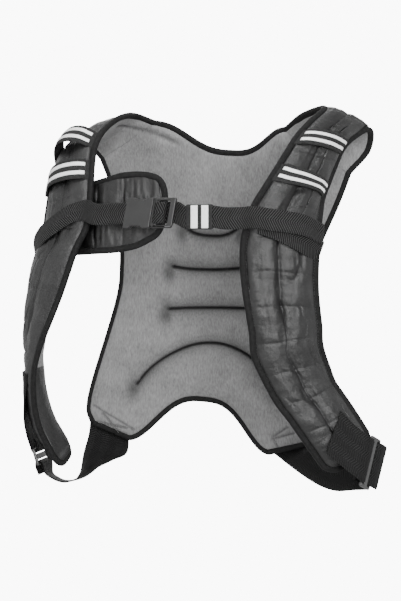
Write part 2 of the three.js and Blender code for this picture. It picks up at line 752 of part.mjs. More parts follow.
const buckle = shared(BUCKLE_CENTRE);
const RIGHT = V(1, 0, 0);
const SOCKET_BAR = -SOCKET_LENGTH + 4.6;
const PLUG_BAR = 16.5;
const HOOK = WEB_THICK / 2 + SLIDER_BAR / 2 + 0.9;
const SLANTED = V(BUCKLE_SLANT, 0, 1);
const hookStations = (bar, a, n, back, across) =>
  hooked(along(buckle, RIGHT, bar), a, n, HOOK, back).map((p) => ({ p, across }));
put(
  "chest_web_left",
  strip(
    [
      ...onStrap(straps.left, CHEST_LEFT_ON_STRAP),
      ...free(CHEST_FREE_LEFT),
      ...hookStations(SOCKET_BAR, RIGHT, FRONT, 14, SLANTED.clone().negate()),
    ],
    CHEST_WEB_WIDTH,
  ),
  WEBBING,
);

const keeper = shared(KEEPER_CENTRE);
const LEFT = V(-1, 0, 0);
const REAR = V(0, 1, 0);
put(
  "chest_web_right",
  strip(
    [
      ...hookStations(PLUG_BAR, LEFT, REAR, 5, SLANTED.clone().negate()).reverse(),
      { p: along(buckle, RIGHT, PLUG_LENGTH + 5, FRONT, -HOOK), n: FRONT },
      { p: along(keeper, RIGHT, -KEEPER_LENGTH / 2 - 2), n: FRONT },
      { p: along(keeper, RIGHT, KEEPER_LENGTH / 2 + 2), n: FRONT },
      ...free(CHEST_FREE_RIGHT),
      ...onStrap(straps.right, CHEST_RIGHT_ON_STRAP),
    ],
    CHEST_WEB_WIDTH,
  ),
  WEBBING,
);
put("chest_web_tail", strip(onStrap(straps.right, CHEST_TAIL_ON_STRAP), CHEST_WEB_WIDTH), WEBBING);

// Boxes cut and joined in the buckle's own frame: x along the strap, y out of the front, z up
const box = (x0, x1, y0, y1, z0, z1) =>
  wasm.Manifold.cube([x1 - x0, y1 - y0, z1 - z0]).translate([x0, y0, z0]);
function fromManifold(solid, place) {
  const m = solid.getMesh();
  const points = range(m.numVert, (i) => place(m.vertProperties.slice(i * m.numProp, i * m.numProp + 3)));
  return body(points, Array.from(m.triVerts));
}
const H = BUCKLE_HEIGHT / 2;
const T = BUCKLE_THICK / 2;
const placeBuckle = ([x, y, z]) => along(buckle, RIGHT, x + BUCKLE_SLANT * z, FRONT, y, V(0, 0, 1), z);
const slot = CHEST_WEB_WIDTH / 2 + 1;
const prongReach = -SOCKET_LENGTH + 13;
const socket = box(-SOCKET_LENGTH + 3, 3, -T, T, -H, H)
  .subtract(box(-SOCKET_LENGTH + 10.5, 3.5, -T + BUCKLE_WALL, T - BUCKLE_WALL, -H + BUCKLE_WALL, H - BUCKLE_WALL))
  .subtract(box(-19, -8, -T + BUCKLE_WALL, T + 1, H - BUCKLE_WALL - 1, H + 1))
  .subtract(box(-19, -8, -T + BUCKLE_WALL, T + 1, -H - 1, -H + BUCKLE_WALL + 1))
  .subtract(box(SOCKET_BAR + 1.5, SOCKET_BAR + 6.2, -T - 1, T + 1, -slot, slot))
  .subtract(box(SOCKET_BAR - 5, SOCKET_BAR + 1.6, 1.5, T + 1, -slot, slot))
  .subtract(box(SOCKET_BAR - 5, SOCKET_BAR + 1.6, -T - 1, -1.5, -slot, slot))
  .subtract(box(SOCKET_BAR + 2, -SOCKET_LENGTH + 25, -T - 1, -T + 1.4, -slot, slot));
put("buckle_socket", fromManifold(socket, placeBuckle), PLASTIC);
const plug = box(3.5, 3 + PLUG_LENGTH, -3, 3, -H, H)
  .subtract(box(6.5, PLUG_BAR - 1.5, -T, T, -H + 4, H - 4))
  .subtract(box(PLUG_BAR + 1.5, PLUG_BAR + 6.5, -T, T, -slot, slot))
  .subtract(box(PLUG_BAR - 1.6, PLUG_BAR + 1.6, 1.5, T, -slot, slot))
  .subtract(box(PLUG_BAR - 1.6, PLUG_BAR + 1.6, -T, -1.5, -slot, slot))
  .subtract(box(PLUG_BAR + 6, 4 + PLUG_LENGTH, -T, -0.6, -slot, slot))
  .add(box(prongReach, 3.6, -1.6, 1.6, H - 7, H - BUCKLE_WALL - 0.6))
  .add(box(prongReach, 3.6, -1.6, 1.6, -H + BUCKLE_WALL + 0.6, -H + 7))
  .add(box(prongReach + 6, 3.6, -1.2, 1.2, -3, 3));
put("buckle_plug", fromManifold(plug, placeBuckle), PLASTIC);

// Keeper: a sleeve round the webbing
const sleeve = (y, z) => [[-y, -z], [y, -z], [y, z], [-y, z]];
const keeperInner = sleeve(WEB_THICK / 2 + 0.6, CHEST_WEB_WIDTH / 2 + 0.5);
const keeperOuter = sleeve(WEB_THICK / 2 + 0.6 + KEEPER_WALL, CHEST_WEB_WIDTH / 2 + 0.5 + KEEPER_WALL);
const keeperSolid = box(-KEEPER_LENGTH / 2, KEEPER_LENGTH / 2, keeperOuter[0][0], keeperOuter[1][0], keeperOuter[0][1],
  keeperOuter[2][1]).subtract(
  box(-KEEPER_LENGTH, KEEPER_LENGTH, keeperInner[0][0], keeperInner[1][0], keeperInner[0][1], keeperInner[2][1]),
);
const placeKeeper = ([x, y, z]) => along(keeper, RIGHT, x, FRONT, y, V(0, 0, 1), z);
put("keeper", fromManifold(keeperSolid, placeKeeper), ELASTIC);
const face = keeperOuter[1][0] + CLEARANCE;
for (const [word, x] of [["left", -5.2], ["right", 6.6]])
  put(
    "keeper_stripe_" + word,
    fromManifold(
      box(x - KEEPER_STRIPE_WIDTH / 2, x + KEEPER_STRIPE_WIDTH / 2, face, face + STRIPE_THICK, -12.5, 12.5),
      placeKeeper,
    ),
    REFLECTIVE,
  );

// Buckle pad
const padCurve = curve(range(PAD_COLUMNS.length, (i) => i), PAD_COLUMNS);
const PAD_LAST = PAD_COLUMNS.length - 1;
function padPoint(c, r) {
  const k = padCurve(c);
  return shared([0, 1, 2].map((i) => lerp(k[i + 3], k[i], r)));
}
const padSteps = range(13, (i) => (i / 12) * PAD_LAST);
const padRows = [0, 0.25, 0.5, 0.75, 1];
const padGrid = (side) =>
  padSteps.map((c) =>
    padRows.map((r) => {
      const height = padPoint(c, 1).distanceTo(padPoint(c, 0));
      const inset = (bodyInset + 9 * smooth((c - PAD_LAST + 1.6) / 0.6)) / height;
      const p = padPoint(c, lerp(inset, 1 - inset, r));
      const swell = Math.sin(Math.PI * r) ** 0.5;
      const fold = PAD_FOLD * Math.cos(c * 4.2) * swell;
      return along(p, FRONT, side * (1.2 + (PAD_THICK / 2 - 1.2) * swell) + fold * 0.5);
    }),
  );
const padTrim = padSteps.filter((c) => c < PAD_LAST - 0.9);
const padBodyCount = padTrim.length;
const padBody = (side) => padGrid(side).slice(0, padBodyCount);
put("buckle_pad", slab(padBody(1), padBody(-1)), NYLON);
const padEdge = [];
for (const c of padTrim) padEdge.push(along(padPoint(c, 1), V(0, 0, 1), -BINDING_WIDTH / 2));
const padTip = padTrim[padTrim.length - 1] + 0.75;
padEdge.push(padPoint(padTip - 0.1, 0.84), padPoint(padTip, 0.5), padPoint(padTip - 0.1, 0.16));
for (const c of [...padTrim].reverse()) padEdge.push(along(padPoint(c, 0), V(0, 0, 1), BINDING_WIDTH / 2));
put("binding_pad", bar([padEdge, padEdge.map(() => FRONT)], BINDING_WIDTH - 1, BINDING_THICK - 1), TRIM);

// Lower adjusters
function slider(name, { at, run, wide }) {
  const w = V(...wide).normalize();
  const n = V(...run).cross(w).normalize();
  const a = w.clone().cross(n).normalize();
  const centre = shared(at);
  const w2 = SLIDER_WIDTH / 2;
  const l2 = SLIDER_LENGTH / 2;
  const open = w2 - 3.4;
  const solid = box(-l2, l2, -SLIDER_BAR / 2, SLIDER_BAR / 2, -w2, w2)
    .subtract(box(-l2 + SLIDER_BAR, -SLIDER_BAR / 2, -4, 4, -open, open))
    .subtract(box(SLIDER_BAR / 2, l2 - SLIDER_BAR, -4, 4, -open, open));
  put(name, fromManifold(solid, ([x, y, z]) => along(centre, a, x, n, y, w, z)), PLASTIC);
  return { centre, a, n, w, reach: l2 - SLIDER_BAR / 2 };
}
const sliderLeft = slider("slider_left", SLIDER_LEFT);
const sliderRight = slider("slider_right", SLIDER_RIGHT);

const half = SIDE_WEB_WIDTH / 2;
function hookRails(s, end, flip, back) {
  const barAt = along(s.centre, s.a, end * s.reach);
  const points = hooked(barAt, s.a.clone().multiplyScalar(-end), s.n.clone().multiplyScalar(flip), HOOK, back);
  return points.map((p) => [along(p, s.w, -half), along(p, s.w, half)]);
}

function strapEnd(name, rails, s, end, flip, order) {
  const tip = hookRails(s, end, flip, 12).map(([p, q]) => (order > 0 ? [p, q] : [q, p]));
  const all = [...rails, ...tip];
  put(name, band(all.map((r) => r[0]), all.map((r) => r[1]), WEB_THICK), WEBBING);
}
const edgeRails = (rows, count) => {
  const table = curve(range(rows.length, (i) => i), rows);
  return edgeSteps(count, 0, rows.length - 1).map((t) => {
    const r = table(t);
    return [shared(r.slice(0, 3)), shared(r.slice(3, 6))];
  });
};
const leftTongueRails = TONGUE_LEFT.map(([q, across, lift]) => {
  const f = straps.left.frame(q * DROP, 0.5);
  const u = across * f.width;
  const h = strapTop(0.5) + lift;
  return [along(f.origin, f.across, u, f.n, h), along(f.origin, f.across, u + SIDE_WEB_WIDTH, f.n, h)];
});
strapEnd("tongue_left", leftTongueRails, sliderLeft, -1, -1, 1);
strapEnd("tongue_right", edgeRails(TONGUE_RIGHT, 3), sliderRight, -1, -1, 1);
strapEnd("side_web_left", edgeRails(SIDE_WEB_LEFT, 15), sliderLeft, 1, 1, 1);
strapEnd("side_web_right", edgeRails(SIDE_WEB_RIGHT, 14), sliderRight, 1, 1, -1);

export default group;
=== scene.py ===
import math

import bmesh
import bpy
import numpy as np
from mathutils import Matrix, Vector


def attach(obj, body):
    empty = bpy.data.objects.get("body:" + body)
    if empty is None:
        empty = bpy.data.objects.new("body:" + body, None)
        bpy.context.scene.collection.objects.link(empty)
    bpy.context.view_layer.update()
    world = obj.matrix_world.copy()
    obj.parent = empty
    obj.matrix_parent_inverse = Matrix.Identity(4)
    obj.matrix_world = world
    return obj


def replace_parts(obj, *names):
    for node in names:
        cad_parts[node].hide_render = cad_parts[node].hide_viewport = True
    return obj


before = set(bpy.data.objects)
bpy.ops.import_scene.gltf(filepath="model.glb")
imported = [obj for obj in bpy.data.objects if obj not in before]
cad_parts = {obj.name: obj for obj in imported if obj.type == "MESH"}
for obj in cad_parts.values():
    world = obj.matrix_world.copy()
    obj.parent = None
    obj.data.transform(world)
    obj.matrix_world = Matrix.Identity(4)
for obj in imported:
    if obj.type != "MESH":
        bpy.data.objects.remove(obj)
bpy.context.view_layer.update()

MM = 0.001

# Overall sizes, in millimetres
HALF_SPAN, HALF_DEPTH, DROP = 200.0, 110.0, 430.0
PANEL_REACH, PANEL_HEIGHT, PANEL_DEPTH, PANEL_WRAP = 150.0, 370.0, 88.0, 15.0
PANEL_LOFT, PANEL_EDGE, PANEL_LEAN, PANEL_OFFSET, PANEL_PIVOT = 21.0, 5.0, 4.5, -39.0, -242.0
PROFILE_SHARE = 0.6
STRAP_WIDTH, STRAP_FRONT_LOFT, STRAP_BACK_LOFT, STRAP_EDGE, STRAP_CORNER = 88.0, 12.0, 7.0, 4.4, 20.0
QUILT_PITCH, QUILT_DEPTH, QUILT_SEAM_SHARE = 39.0, 3.0, 0.45
BINDING_WIDTH, BINDING_THICK = 8.0, 6.0
LOOP_WIDTH, LOOP_THICK, LOOP_STAND_OFF = 25.0, 1.6, 17.0
STRIPE_WIDTH, STRIPE_SPACING = 4.6, 10.5
CHEST_WEB_WIDTH, SIDE_WEB_WIDTH, WEB_THICK = 24.0, 50.0, 1.8
BUCKLE_HEIGHT, BUCKLE_THICK, BUCKLE_SLANT = 33.0, 9.0, 0.18
SOCKET_LENGTH, PLUG_LENGTH = 30.0, 25.0
KEEPER_LENGTH, KEEPER_STRIPE_WIDTH = 29.0, 7.6
PAD_THICK = 6.0
THREAD_INSET = BINDING_WIDTH - 1.6
# The drawn bindings of the panel and the straps, and of the pad
FULL_BINDING = (BINDING_WIDTH + 0.3, BINDING_THICK + 0.4)
PAD_BINDING = (BINDING_WIDTH - 0.6, BINDING_THICK - 0.6)
SLIDER_WIDTH, SLIDER_LENGTH, SLIDER_BAR, SLIDER_MIDDLE = 58.0, 20.0, 3.0, 3.4
NOTCH_FROM, NOTCH_TO, NOTCH_DEEP = -18.5, -7.5, 2.4
# How far the end of a strap tucks under its binding, and how much of the left strap's inner face is nylon
STRAP_TUCK, INNER_NYLON = 6.0, 128.0
# Room at the loose side of a loop
SIDE_GAP = 3.4
# Step of a binding along its path, and its sides
TAPE_STEP, TAPE_SIDES = 2.2, 20

# Tables of the part, as shares of the sizes above
# x and z of the outer edge, x and z at the profile's share, middle z, sway of the three
PANEL_ROWS = [
    [0.915, -0.974, 0.595, -1.016, -0.870, 0, 0, 0],
    [0.953, -0.919, 0.630, -0.919, -0.780, 0, 0, 0],
    [0.927, -0.819, 0.567, -0.838, -0.678, 0, 0, 0],
    [0.800, -0.562, 0.333, -0.565, -0.562, 0, 0, 0],
    [0.793, -0.446, 0.320, -0.438, -0.441, 0.007, 0, 0],
    [0.838, -0.338, 0.260, -0.303, -0.327, 0.027, 0.013, 0.013],
    [0.945, -0.195, 0.420, -0.150, -0.203, 0.060, 0.035, 0.045],
    [1.027, -0.103, 0.513, 0.027, -0.048, 0.060, 0.013, 0.095],
]
# height, depth
PANEL_CURVE = [
    [-1.08, 0.81], [-0.89, 0.91], [-0.68, 0.98], [-0.49, 1.00], [-0.30, 0.94],
    [-0.16, 0.83], [-0.08, 0.73], [0.00, 0.61], [0.054, 0.545],
]
# x, y, z of the medial edge, turn and fall of the way across in degrees, width
STRAP_RIGHT = [
    [0.415, 0.230, 0.037, 25, 27, 1.070],
    [0.565, 0.000, 0.048, 33, 22, 0.780],
    [0.505, -0.309, 0.001, 43, 15, 0.765],
    [0.459, -0.473, -0.036, 45, 12, 0.785],
    [0.416, -0.618, -0.081, 46, 12, 0.830],
    [0.369, -0.745, -0.128, 46, 12, 0.882],
    [0.319, -0.845, -0.174, 42, 9, 0.918],
    [0.268, -0.918, -0.219, 35, 7, 0.970],
    [0.219, -0.964, -0.291, 27, 2, 1.011],
    [0.224, -0.982, -0.444, 29, -1, 0.989],
    [0.243, -0.973, -0.499, 31, -3, 0.977],
    [0.256, -0.945, -0.547, 31, -6, 0.966],
    [0.263, -0.900, -0.606, 30, -10, 0.954],
    [0.292, -0.855, -0.643, 32, -13, 0.932],
    [0.332, -0.809, -0.684, 34, -16, 0.909],
    [0.383, -0.764, -0.729, 36, -19, 0.875],
    [0.441, -0.718, -0.766, 37, -22, 0.852],
    [0.491, -0.673, -0.802, 37, -25, 0.841],
    [0.556, -0.600, -0.850, 36, -29, 0.818],
    [0.625, -0.509, -0.898, 36, -32, 0.795],
    [0.668, -0.470, -0.917, 36, -32, 0.773],
]
STRAP_LEFT = [
    [-0.555, 0.291, 0.050, 23, 26, 0.954],
    [-0.582, 0.000, 0.044, 25, 26, 0.853],
    [-0.600, -0.182, 0.031, 28, 24, 0.852],
    [-0.647, -0.436, -0.010, 33, 19, 0.864],
    [-0.666, -0.600, -0.053, 34, 14, 0.886],
    [-0.658, -0.745, -0.109, 33, 11, 0.909],
    [-0.645, -0.882, -0.203, 33, 6, 0.954],
    [-0.656, -0.955, -0.276, 35, 3, 0.988],
    [-0.715, -0.982, -0.333, 39, 1, 0.988],
    [-0.752, -1.000, -0.384, 41, -1, 0.989],
    [-0.803, -1.009, -0.451, 45, -2, 0.977],
    [-0.866, -1.000, -0.518, 52, -4, 0.955],
    [-0.929, -0.964, -0.578, 62, -5, 0.931],
    [-0.981, -0.909, -0.644, 73, -5, 0.897],
    [-1.002, -0.836, -0.716, 79, -5, 0.863],
    [-1.000, -0.782, -0.764, 82, -6, 0.830],
    [-0.983, -0.727, -0.809, 84, -8, 0.795],
    [-0.948, -0.673, -0.851, 85, -10, 0.773],
    [-0.904, -0.618, -0.896, 85, -12, 0.750],
    [-0.880, -0.590, -0.911, 83, -12, 0.728],
]
# name, side, medial, lateral, stand-off, share of the side gap
LOOPS = [
    ["loop_left_upper", "left", 0.300, 0.290, 0.55, 0.15],
    ["loop_left_lower", "left", 0.400, 0.410, 0.25, 0.70],
    ["loop_right_upper", "right", 0.335, 0.325, 0.0, 0.35],
    ["loop_right_lower", "right", 0.460, 0.478, 0.0, 0.35],
]
# share of the width, millimetres beyond it, height over the middle of the strap or its cloth (1)
SEWN_END = [[0, 3.6, 1.6], [0, 5.6, 2.9], [0, 9.0, 1]]
LOOSE_END = [[0.95, 1, 1], [1, SIDE_GAP, 2.4], [1, SIDE_GAP, -4.0]]
LOOP_MIDDLE = [[0.2, 0, 1], [0.4, 0, 1], [0.6, 0, 1], [0.8, 0, 1]]
# way down the strap, share of its width, millimetres over its cloth
CHEST_LEFT_ON_STRAP = [
    [0.632, 0.990, -7.0], [0.630, 0.995, -2.0], [0.620, 0.955, 2.2], [0.586, 0.77, 3.6],
    [0.555, 0.50, 2.6], [0.530, 0.26, 2.6], [0.518, 0.09, 3.0],
]
CHEST_RIGHT_ON_STRAP = [
    [0.600, 0.07, 9.2], [0.608, 0.28, 8.1], [0.617, 0.52, 7.5], [0.627, 0.76, 7.0], [0.634, 0.93, 5.6],
    [0.637, 1.020, 0.5], [0.638, 1.022, -6.0],
]
CHEST_TAIL_ON_STRAP = [
    [0.614, 0.17, 2.3], [0.630, 0.36, 3.0], [0.652, 0.60, 3.2], [0.670, 0.80, 2.6], [0.682, 0.94, 1.6],
    [0.685, 1.012, -2.5], [0.686, 1.010, -7.0],
]
CHEST_FREE_LEFT = [[-0.585, -1.075, -0.243], [-0.500, -1.105, -0.243]]
BUCKLE_CENTRE = [-0.275, -1.12, -0.242]
KEEPER_CENTRE = [0.003, -1.118, -0.2535]
CHEST_FREE_RIGHT = [[0.126, -1.115, -0.257], [0.215, -1.112, -0.258]]
# x, y, z of the upper and of the lower edge
PAD_COLUMNS = [
    [-0.680, -0.72, -0.152, -0.790, -0.74, -0.346],
    [-0.555, -0.86, -0.142, -0.620, -0.90, -0.344],
    [-0.467, -0.90, -0.133, -0.500, -0.92, -0.341],
    [-0.379, -0.91, -0.131, -0.390, -0.93, -0.332],
    [-0.310, -0.92, -0.134, -0.320, -0.93, -0.318],
    [-0.253, -0.92, -0.145, -0.262, -0.93, -0.300],
    [-0.205, -0.92, -0.175, -0.215, -0.93, -0.262],
]
# x, y, z of both edges
SIDE_WEB_LEFT = [
    [-0.932, 0.665, -0.805, -0.695, 0.715, -0.850],
    [-0.935, 0.620, -0.843, -0.690, 0.690, -0.874],
    [-0.938, 0.480, -0.885, -0.690, 0.580, -0.897],
    [-0.925, 0.33, -0.912, -0.735, 0.46, -0.908],
    [-0.898, 0.13, -0.932, -0.825, 0.44, -0.926],
    [-0.866, -0.20, -0.945, -0.872, 0.24, -0.948],
    [-0.880, -0.46, -0.948, -0.915, 0.00, -0.956],
    [-0.922, -0.56, -0.940, -0.965, -0.10, -0.952],
    [-0.980, -0.575, -0.924, -1.020, -0.12, -0.935],
]
SIDE_WEB_RIGHT = [
    [0.185, 0.730, -0.880, 0.405, 0.710, -0.848],
    [0.262, 0.665, -0.903, 0.455, 0.715, -0.848],
    [0.380, 0.455, -0.930, 0.553, 0.400, -0.850],
    [0.525, 0.205, -0.957, 0.663, 0.210, -0.860],
    [0.645, 0.030, -0.966, 0.765, 0.090, -0.860],
    [0.755, -0.110, -0.958, 0.848, 0.020, -0.854],
    [0.840, -0.230, -0.952, 0.900, -0.070, -0.846],
]
# way down the strap, share of its width, millimetres over its cloth
TONGUE_LEFT = [
    [0.980, 0.13, 1.3], [1.005, 0.13, 1.3], [1.030, 0.13, 1.3], [1.055, 0.13, 1.4],
    [1.080, 0.13, 1.8],
]
TONGUE_RIGHT = [
    [0.716, -0.502, -0.743, 0.653, -0.682, -0.849],
    [0.793, -0.482, -0.780, 0.741, -0.642, -0.884],
]
# centre, the way along, the way across
SLIDER_LEFT = ([-1.050, -0.340, -0.880], [0.30, 0.00, -0.95], [-0.10, 0.99, 0.00])
SLIDER_RIGHT = ([0.868, -0.380, -0.878], [0.35, 0.85, -0.38], [-0.19, -0.305, -0.93])

# Tables of the scene
# Seams of the panel: points x, z in millimetres, and depth
SEAMS = [
    ([[-83.2, -306.8], [-74.2, -293.2], [-61.5, -279.6], [-46.5, -268.2], [-32.5, -260.0], [-19.2, -254.2],
      [-5.5, -250.8], [8.2, -249.6], [22.5, -250.8], [37.5, -254.9], [53.5, -262.4], [68.0, -272.8],
      [79.0, -284.0], [87.0, -296.0]], 1.0),
    ([[-52, -212.8], [-39, -211], [-9, -208], [19, -206], [50, -204.5]], 1.0),
    ([[-51, -160.8], [-43, -161.5], [-32, -162.2], [-13, -161.8], [10, -160], [32, -157], [46, -155]], 1.0),
    ([[-38, -112], [-29, -117.5], [-18, -120], [-5, -120.2], [7, -119.2], [19, -114.5], [27, -109]], 0.9),
]
# Stitched boxes in the hip corners, where the webbing is sewn on
BOX_LINES = [
    [[-132, -338], [-119.5, -344.8], [-104, -352], [-80.5, -363.2]],
    [[-120.5, -346], [-108, -359.5], [-99.5, -368.2]],
    [[-126, -358], [-109.2, -359.8], [-89.2, -361.8]],
    [[94, -354.2], [110.2, -342]],
    [[95.5, -356.5], [118.2, -348]],
    [[93.2, -357], [99, -366]],
]
# A fold below the neckline: its height over the panel's width, and its distance from the strap's medial edge
FOLD_ON_PANEL = ([-160, -120, -87.5, -71.5, -52.5, -30], [[9], [5.5], [-0.5], [-4.5], [-11], [-20]])
FOLD_BESIDE_STRAP = ([0, 20, 46, 60], [[18], [23], [24], [22]])
# Rows of the panel and how densely its mesh is spaced there: more where a seam runs
ROW_WEIGHTS = [
    [0, 1], [1.6, 1], [1.9, 2.0], [2.1, 2.0], [2.6, 1], [2.9, 2.2], [3.1, 2.2], [3.6, 1],
    [3.9, 2.2], [4.1, 2.2], [4.6, 1], [4.9, 2.2], [5.1, 2.2], [5.5, 1], [7, 1],
]
STRAP_SEEDS = {"left": 20, "right": 40}
# A prong of the plug: x, and millimetres in from the buckle's edge
PRONG = [[-17, 2.6], [-9, 0.3], [-7.5, 3.2], [4, 3.2], [4, 7], [-17, 7]]
# The tip of the pad's binding: columns from the last, share of the height
PAD_TIP = [[-0.16, 0.87], [0, 0.68], [0.05, 0.5], [0, 0.32], [-0.16, 0.13]]
# How much nearer to the strap the left tongue lies than in the CAD, and its hollow along it: below 0 a crown
TONGUE_SINK = [8.0, 7.5, 6.0, 3.5, 1.0]
TONGUE_SAG = ([0, 25, 45], [-7.0, -5.6, 0])
# name, place, size and power
LIGHTS = [
    ("key", (0.8, -1.7, 0.15), 1.1, 50),
    ("fill", (-1.8, -1.6, 0.2), 1.2, 10),
    ("top", (-0.1, -0.8, 2.1), 0.6, 34),
    ("rear", (-0.6, 2.4, 1.2), 1.4, 24),
]
LIT_POINT = (0, 0, -0.22)


# Small helpers on arrays
def lerp(a, b, t):
    return a + (b - a) * t


def held(v):
    return np.clip(v, 0, 1)


def smooth(t):
    t = held(t)
    return t * t * (3 - 2 * t)


def bell(d, spread):
    return np.exp(-((d / spread) ** 2))


def squared(v, power):
    """A sine or cosine drawn towards a square wave."""
    return np.sign(v) * np.abs(v) ** power


def norm(v):
    return np.linalg.norm(v, axis=-1)


def unit(v):
    return v / np.maximum(norm(v)[..., None], 1e-12)


def pair(a, b):
    return np.stack(np.broadcast_arrays(a, b), -1)


def shared(p):
    """Millimetres from shares of the overall sizes."""
    return np.asarray(p, float) * [HALF_SPAN, HALF_DEPTH, DROP]


def lattice(i, j, seed):
    n = np.sin(i * 127.1 + j * 311.7 + seed * 74.7) * 43758.5453
    return n - np.floor(n)


def noise(x, y, seed=0):
    """Smooth noise from -1 to 1 with a spacing of 1."""
    x, y = np.broadcast_arrays(np.asarray(x, float), np.asarray(y, float))
    i, j = np.floor(x), np.floor(y)
    f, g = smooth(x - i), smooth(y - j)
    low = lerp(lattice(i, j, seed), lattice(i + 1, j, seed), f)
    high = lerp(lattice(i, j + 1, seed), lattice(i + 1, j + 1, seed), f)
    return 2 * lerp(low, high, g) - 1


def curve(knots, rows):
    """A smooth curve through the rows of a table, one for each knot."""
    k, r = np.asarray(knots, float), np.asarray(rows, float)
    h = np.diff(k)
    d = np.diff(r, axis=0) / h[:, None]
    s = np.empty_like(r)
    s[0], s[-1] = d[0], d[-1]
    s[1:-1] = (d[1:] * h[:-1, None] + d[:-1] * h[1:, None]) / (h[:-1] + h[1:])[:, None]

    def at(x):
        x = np.asarray(x, float)
        i = np.clip(np.searchsorted(k, x, side="left") - 1, 0, len(k) - 2)
        t = held((x - k[i]) / h[i])[..., None]
        t2, t3, hh = t * t, t * t * t, h[i][..., None]
        return (r[i] * (2 * t3 - 3 * t2 + 1) + s[i] * hh * (t3 - 2 * t2 + t)
                + r[i + 1] * (3 * t2 - 2 * t3) + s[i + 1] * hh * (t3 - t2))

    return at


def by_row(rows):
    """A curve whose knots are the numbers of the rows."""
    return curve(range(len(rows)), rows)


def lengths(p):
    """The length along a line at each of its points."""
    return np.concatenate([[0], np.cumsum(norm(np.diff(p, axis=0)))])


def resample(points, step, *others):
    """Points of a smooth line through points, about step apart, with other columns carried along."""
    p = np.asarray(points, float)
    k = lengths(p)
    x = np.linspace(0, k[-1], max(3, int(k[-1] / step) + 1))
    return (x, *(curve(k, rows)(x) for rows in (p, *others)))


def tangents(p):
    return unit(np.gradient(p, axis=0))


# Mesh makers
def quads(rows, cols, closed=False):
    """The faces of a grid of points, whose rows can be closed."""
    i, j = np.meshgrid(np.arange(rows - 1), np.arange(cols if closed else cols - 1), indexing="ij")
    k = (j + 1) % cols
    return np.stack([i * cols + j, i * cols + k, (i + 1) * cols + k, (i + 1) * cols + j], -1).reshape(-1, 4)


def add(name, data):
    obj = bpy.data.objects.new(name, data)
    bpy.context.scene.collection.objects.link(obj)
    return obj


def finished(name, me, merge=0):
    """An object of the part from a mesh, with its faces turned out."""
    bm = bmesh.new()
    bm.from_mesh(me)
    if merge:
        bmesh.ops.remove_doubles(bm, verts=bm.verts, dist=merge)
    bmesh.ops.recalc_face_normals(bm, faces=bm.faces)
    bm.to_mesh(me)
    bm.free()
    obj = add(name, me)
    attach(obj, "root")
    return obj


def make(name, points, faces, uv, mats, index=None, shade=None):
    me = bpy.data.meshes.new(name)
    me.from_pydata((np.asarray(points) * MM).tolist(), [], [list(map(int, f)) for f in faces])
    layer = me.uv_layers.new(name="UVMap")
    vi = np.empty(len(me.loops), np.int32)
    me.loops.foreach_get("vertex_index", vi)
    layer.data.foreach_set("uv", (np.asarray(uv, float) * MM)[vi].ravel())
    # The shade attribute is painted shade: a share per point by which the materials darken the colour
    if shade is not None:
        painted_shade = me.attributes.new("shade", "FLOAT", "POINT")
        painted_shade.data.foreach_set("value", np.asarray(shade, np.float32).ravel())
    for m in mats:
        me.materials.append(m)
    if index is not None:
        me.polygons.foreach_set("material_index", np.asarray(index, np.int32))
    me.polygons.foreach_set("use_smooth", np.ones(len(me.polygons), bool))
    return finished(name, me)


def slab(name, top, bottom, uv, mats, shade=None, crisp=False):
    """A closed body between two grids; the bottom takes the second material."""
    rows, cols = top.shape[:2]
    n = rows * cols
    up = quads(rows, cols)
    r, c = np.arange(rows - 1) * cols, np.arange(cols - 1)
    e = (rows - 1) * cols + c
    rim = np.concatenate([
        np.stack([r, r + cols, r + cols + n, r + n], 1),
        np.stack([r + cols - 1, r + cols - 1 + n, r + 2 * cols - 1 + n, r + 2 * cols - 1], 1),
        np.stack([c, c + n, c + 1 + n, c + 1], 1),
        np.stack([e, e + 1, e + 1 + n, e + n], 1),
    ])
    faces = np.concatenate([up, up[:, ::-1] + n, rim])
    index = np.zeros(len(faces), int)
    if len(mats) > 1:
        index[len(up):2 * len(up)] = 1
    points = np.concatenate([top.reshape(-1, 3), bottom.reshape(-1, 3)])
    uvs = np.concatenate([uv.reshape(-1, 2)] * 2)
    both = None if shade is None else np.concatenate([q.ravel() for q in shade])
    obj = make(name, points, faces, uvs, mats, index, both)
    if crisp:
        obj.data.set_sharp_from_angle(angle=math.radians(50))
    return obj


def tape(node, path, normals, width, thick):
    """The binding: a rounded tape round an edge that runs along path."""
    name = node + "_tape"
    x, p, nrm = resample(path, TAPE_STEP, normals)
    side = unit(np.cross(tangents(p), unit(nrm)))
    up = unit(np.cross(side, tangents(p)))
    a = np.linspace(0, 2 * math.pi, TAPE_SIDES, endpoint=False)
    ripple = 1 + 0.03 * noise(x[:, None] / 7, a[None, :] * 1.3, len(name))
    pts = (p[:, None, :] + side[:, None, :] * (squared(np.cos(a), 0.8)[None, :] * width / 2)[..., None]
           + up[:, None, :] * (squared(np.sin(a), 0.8)[None, :] * thick / 2 * ripple)[..., None])
    ends = [list(range(TAPE_SIDES))[::-1], [(len(x) - 1) * TAPE_SIDES + q for q in range(TAPE_SIDES)]]
    uv = pair((width * 2.2 * np.arange(TAPE_SIDES) / TAPE_SIDES)[None, :], x[:, None])
    obj = make(name, pts.reshape(-1, 3), quads(len(x), TAPE_SIDES, True).tolist() + ends, uv.reshape(-1, 2),
               [TRIM])
    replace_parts(obj, node)


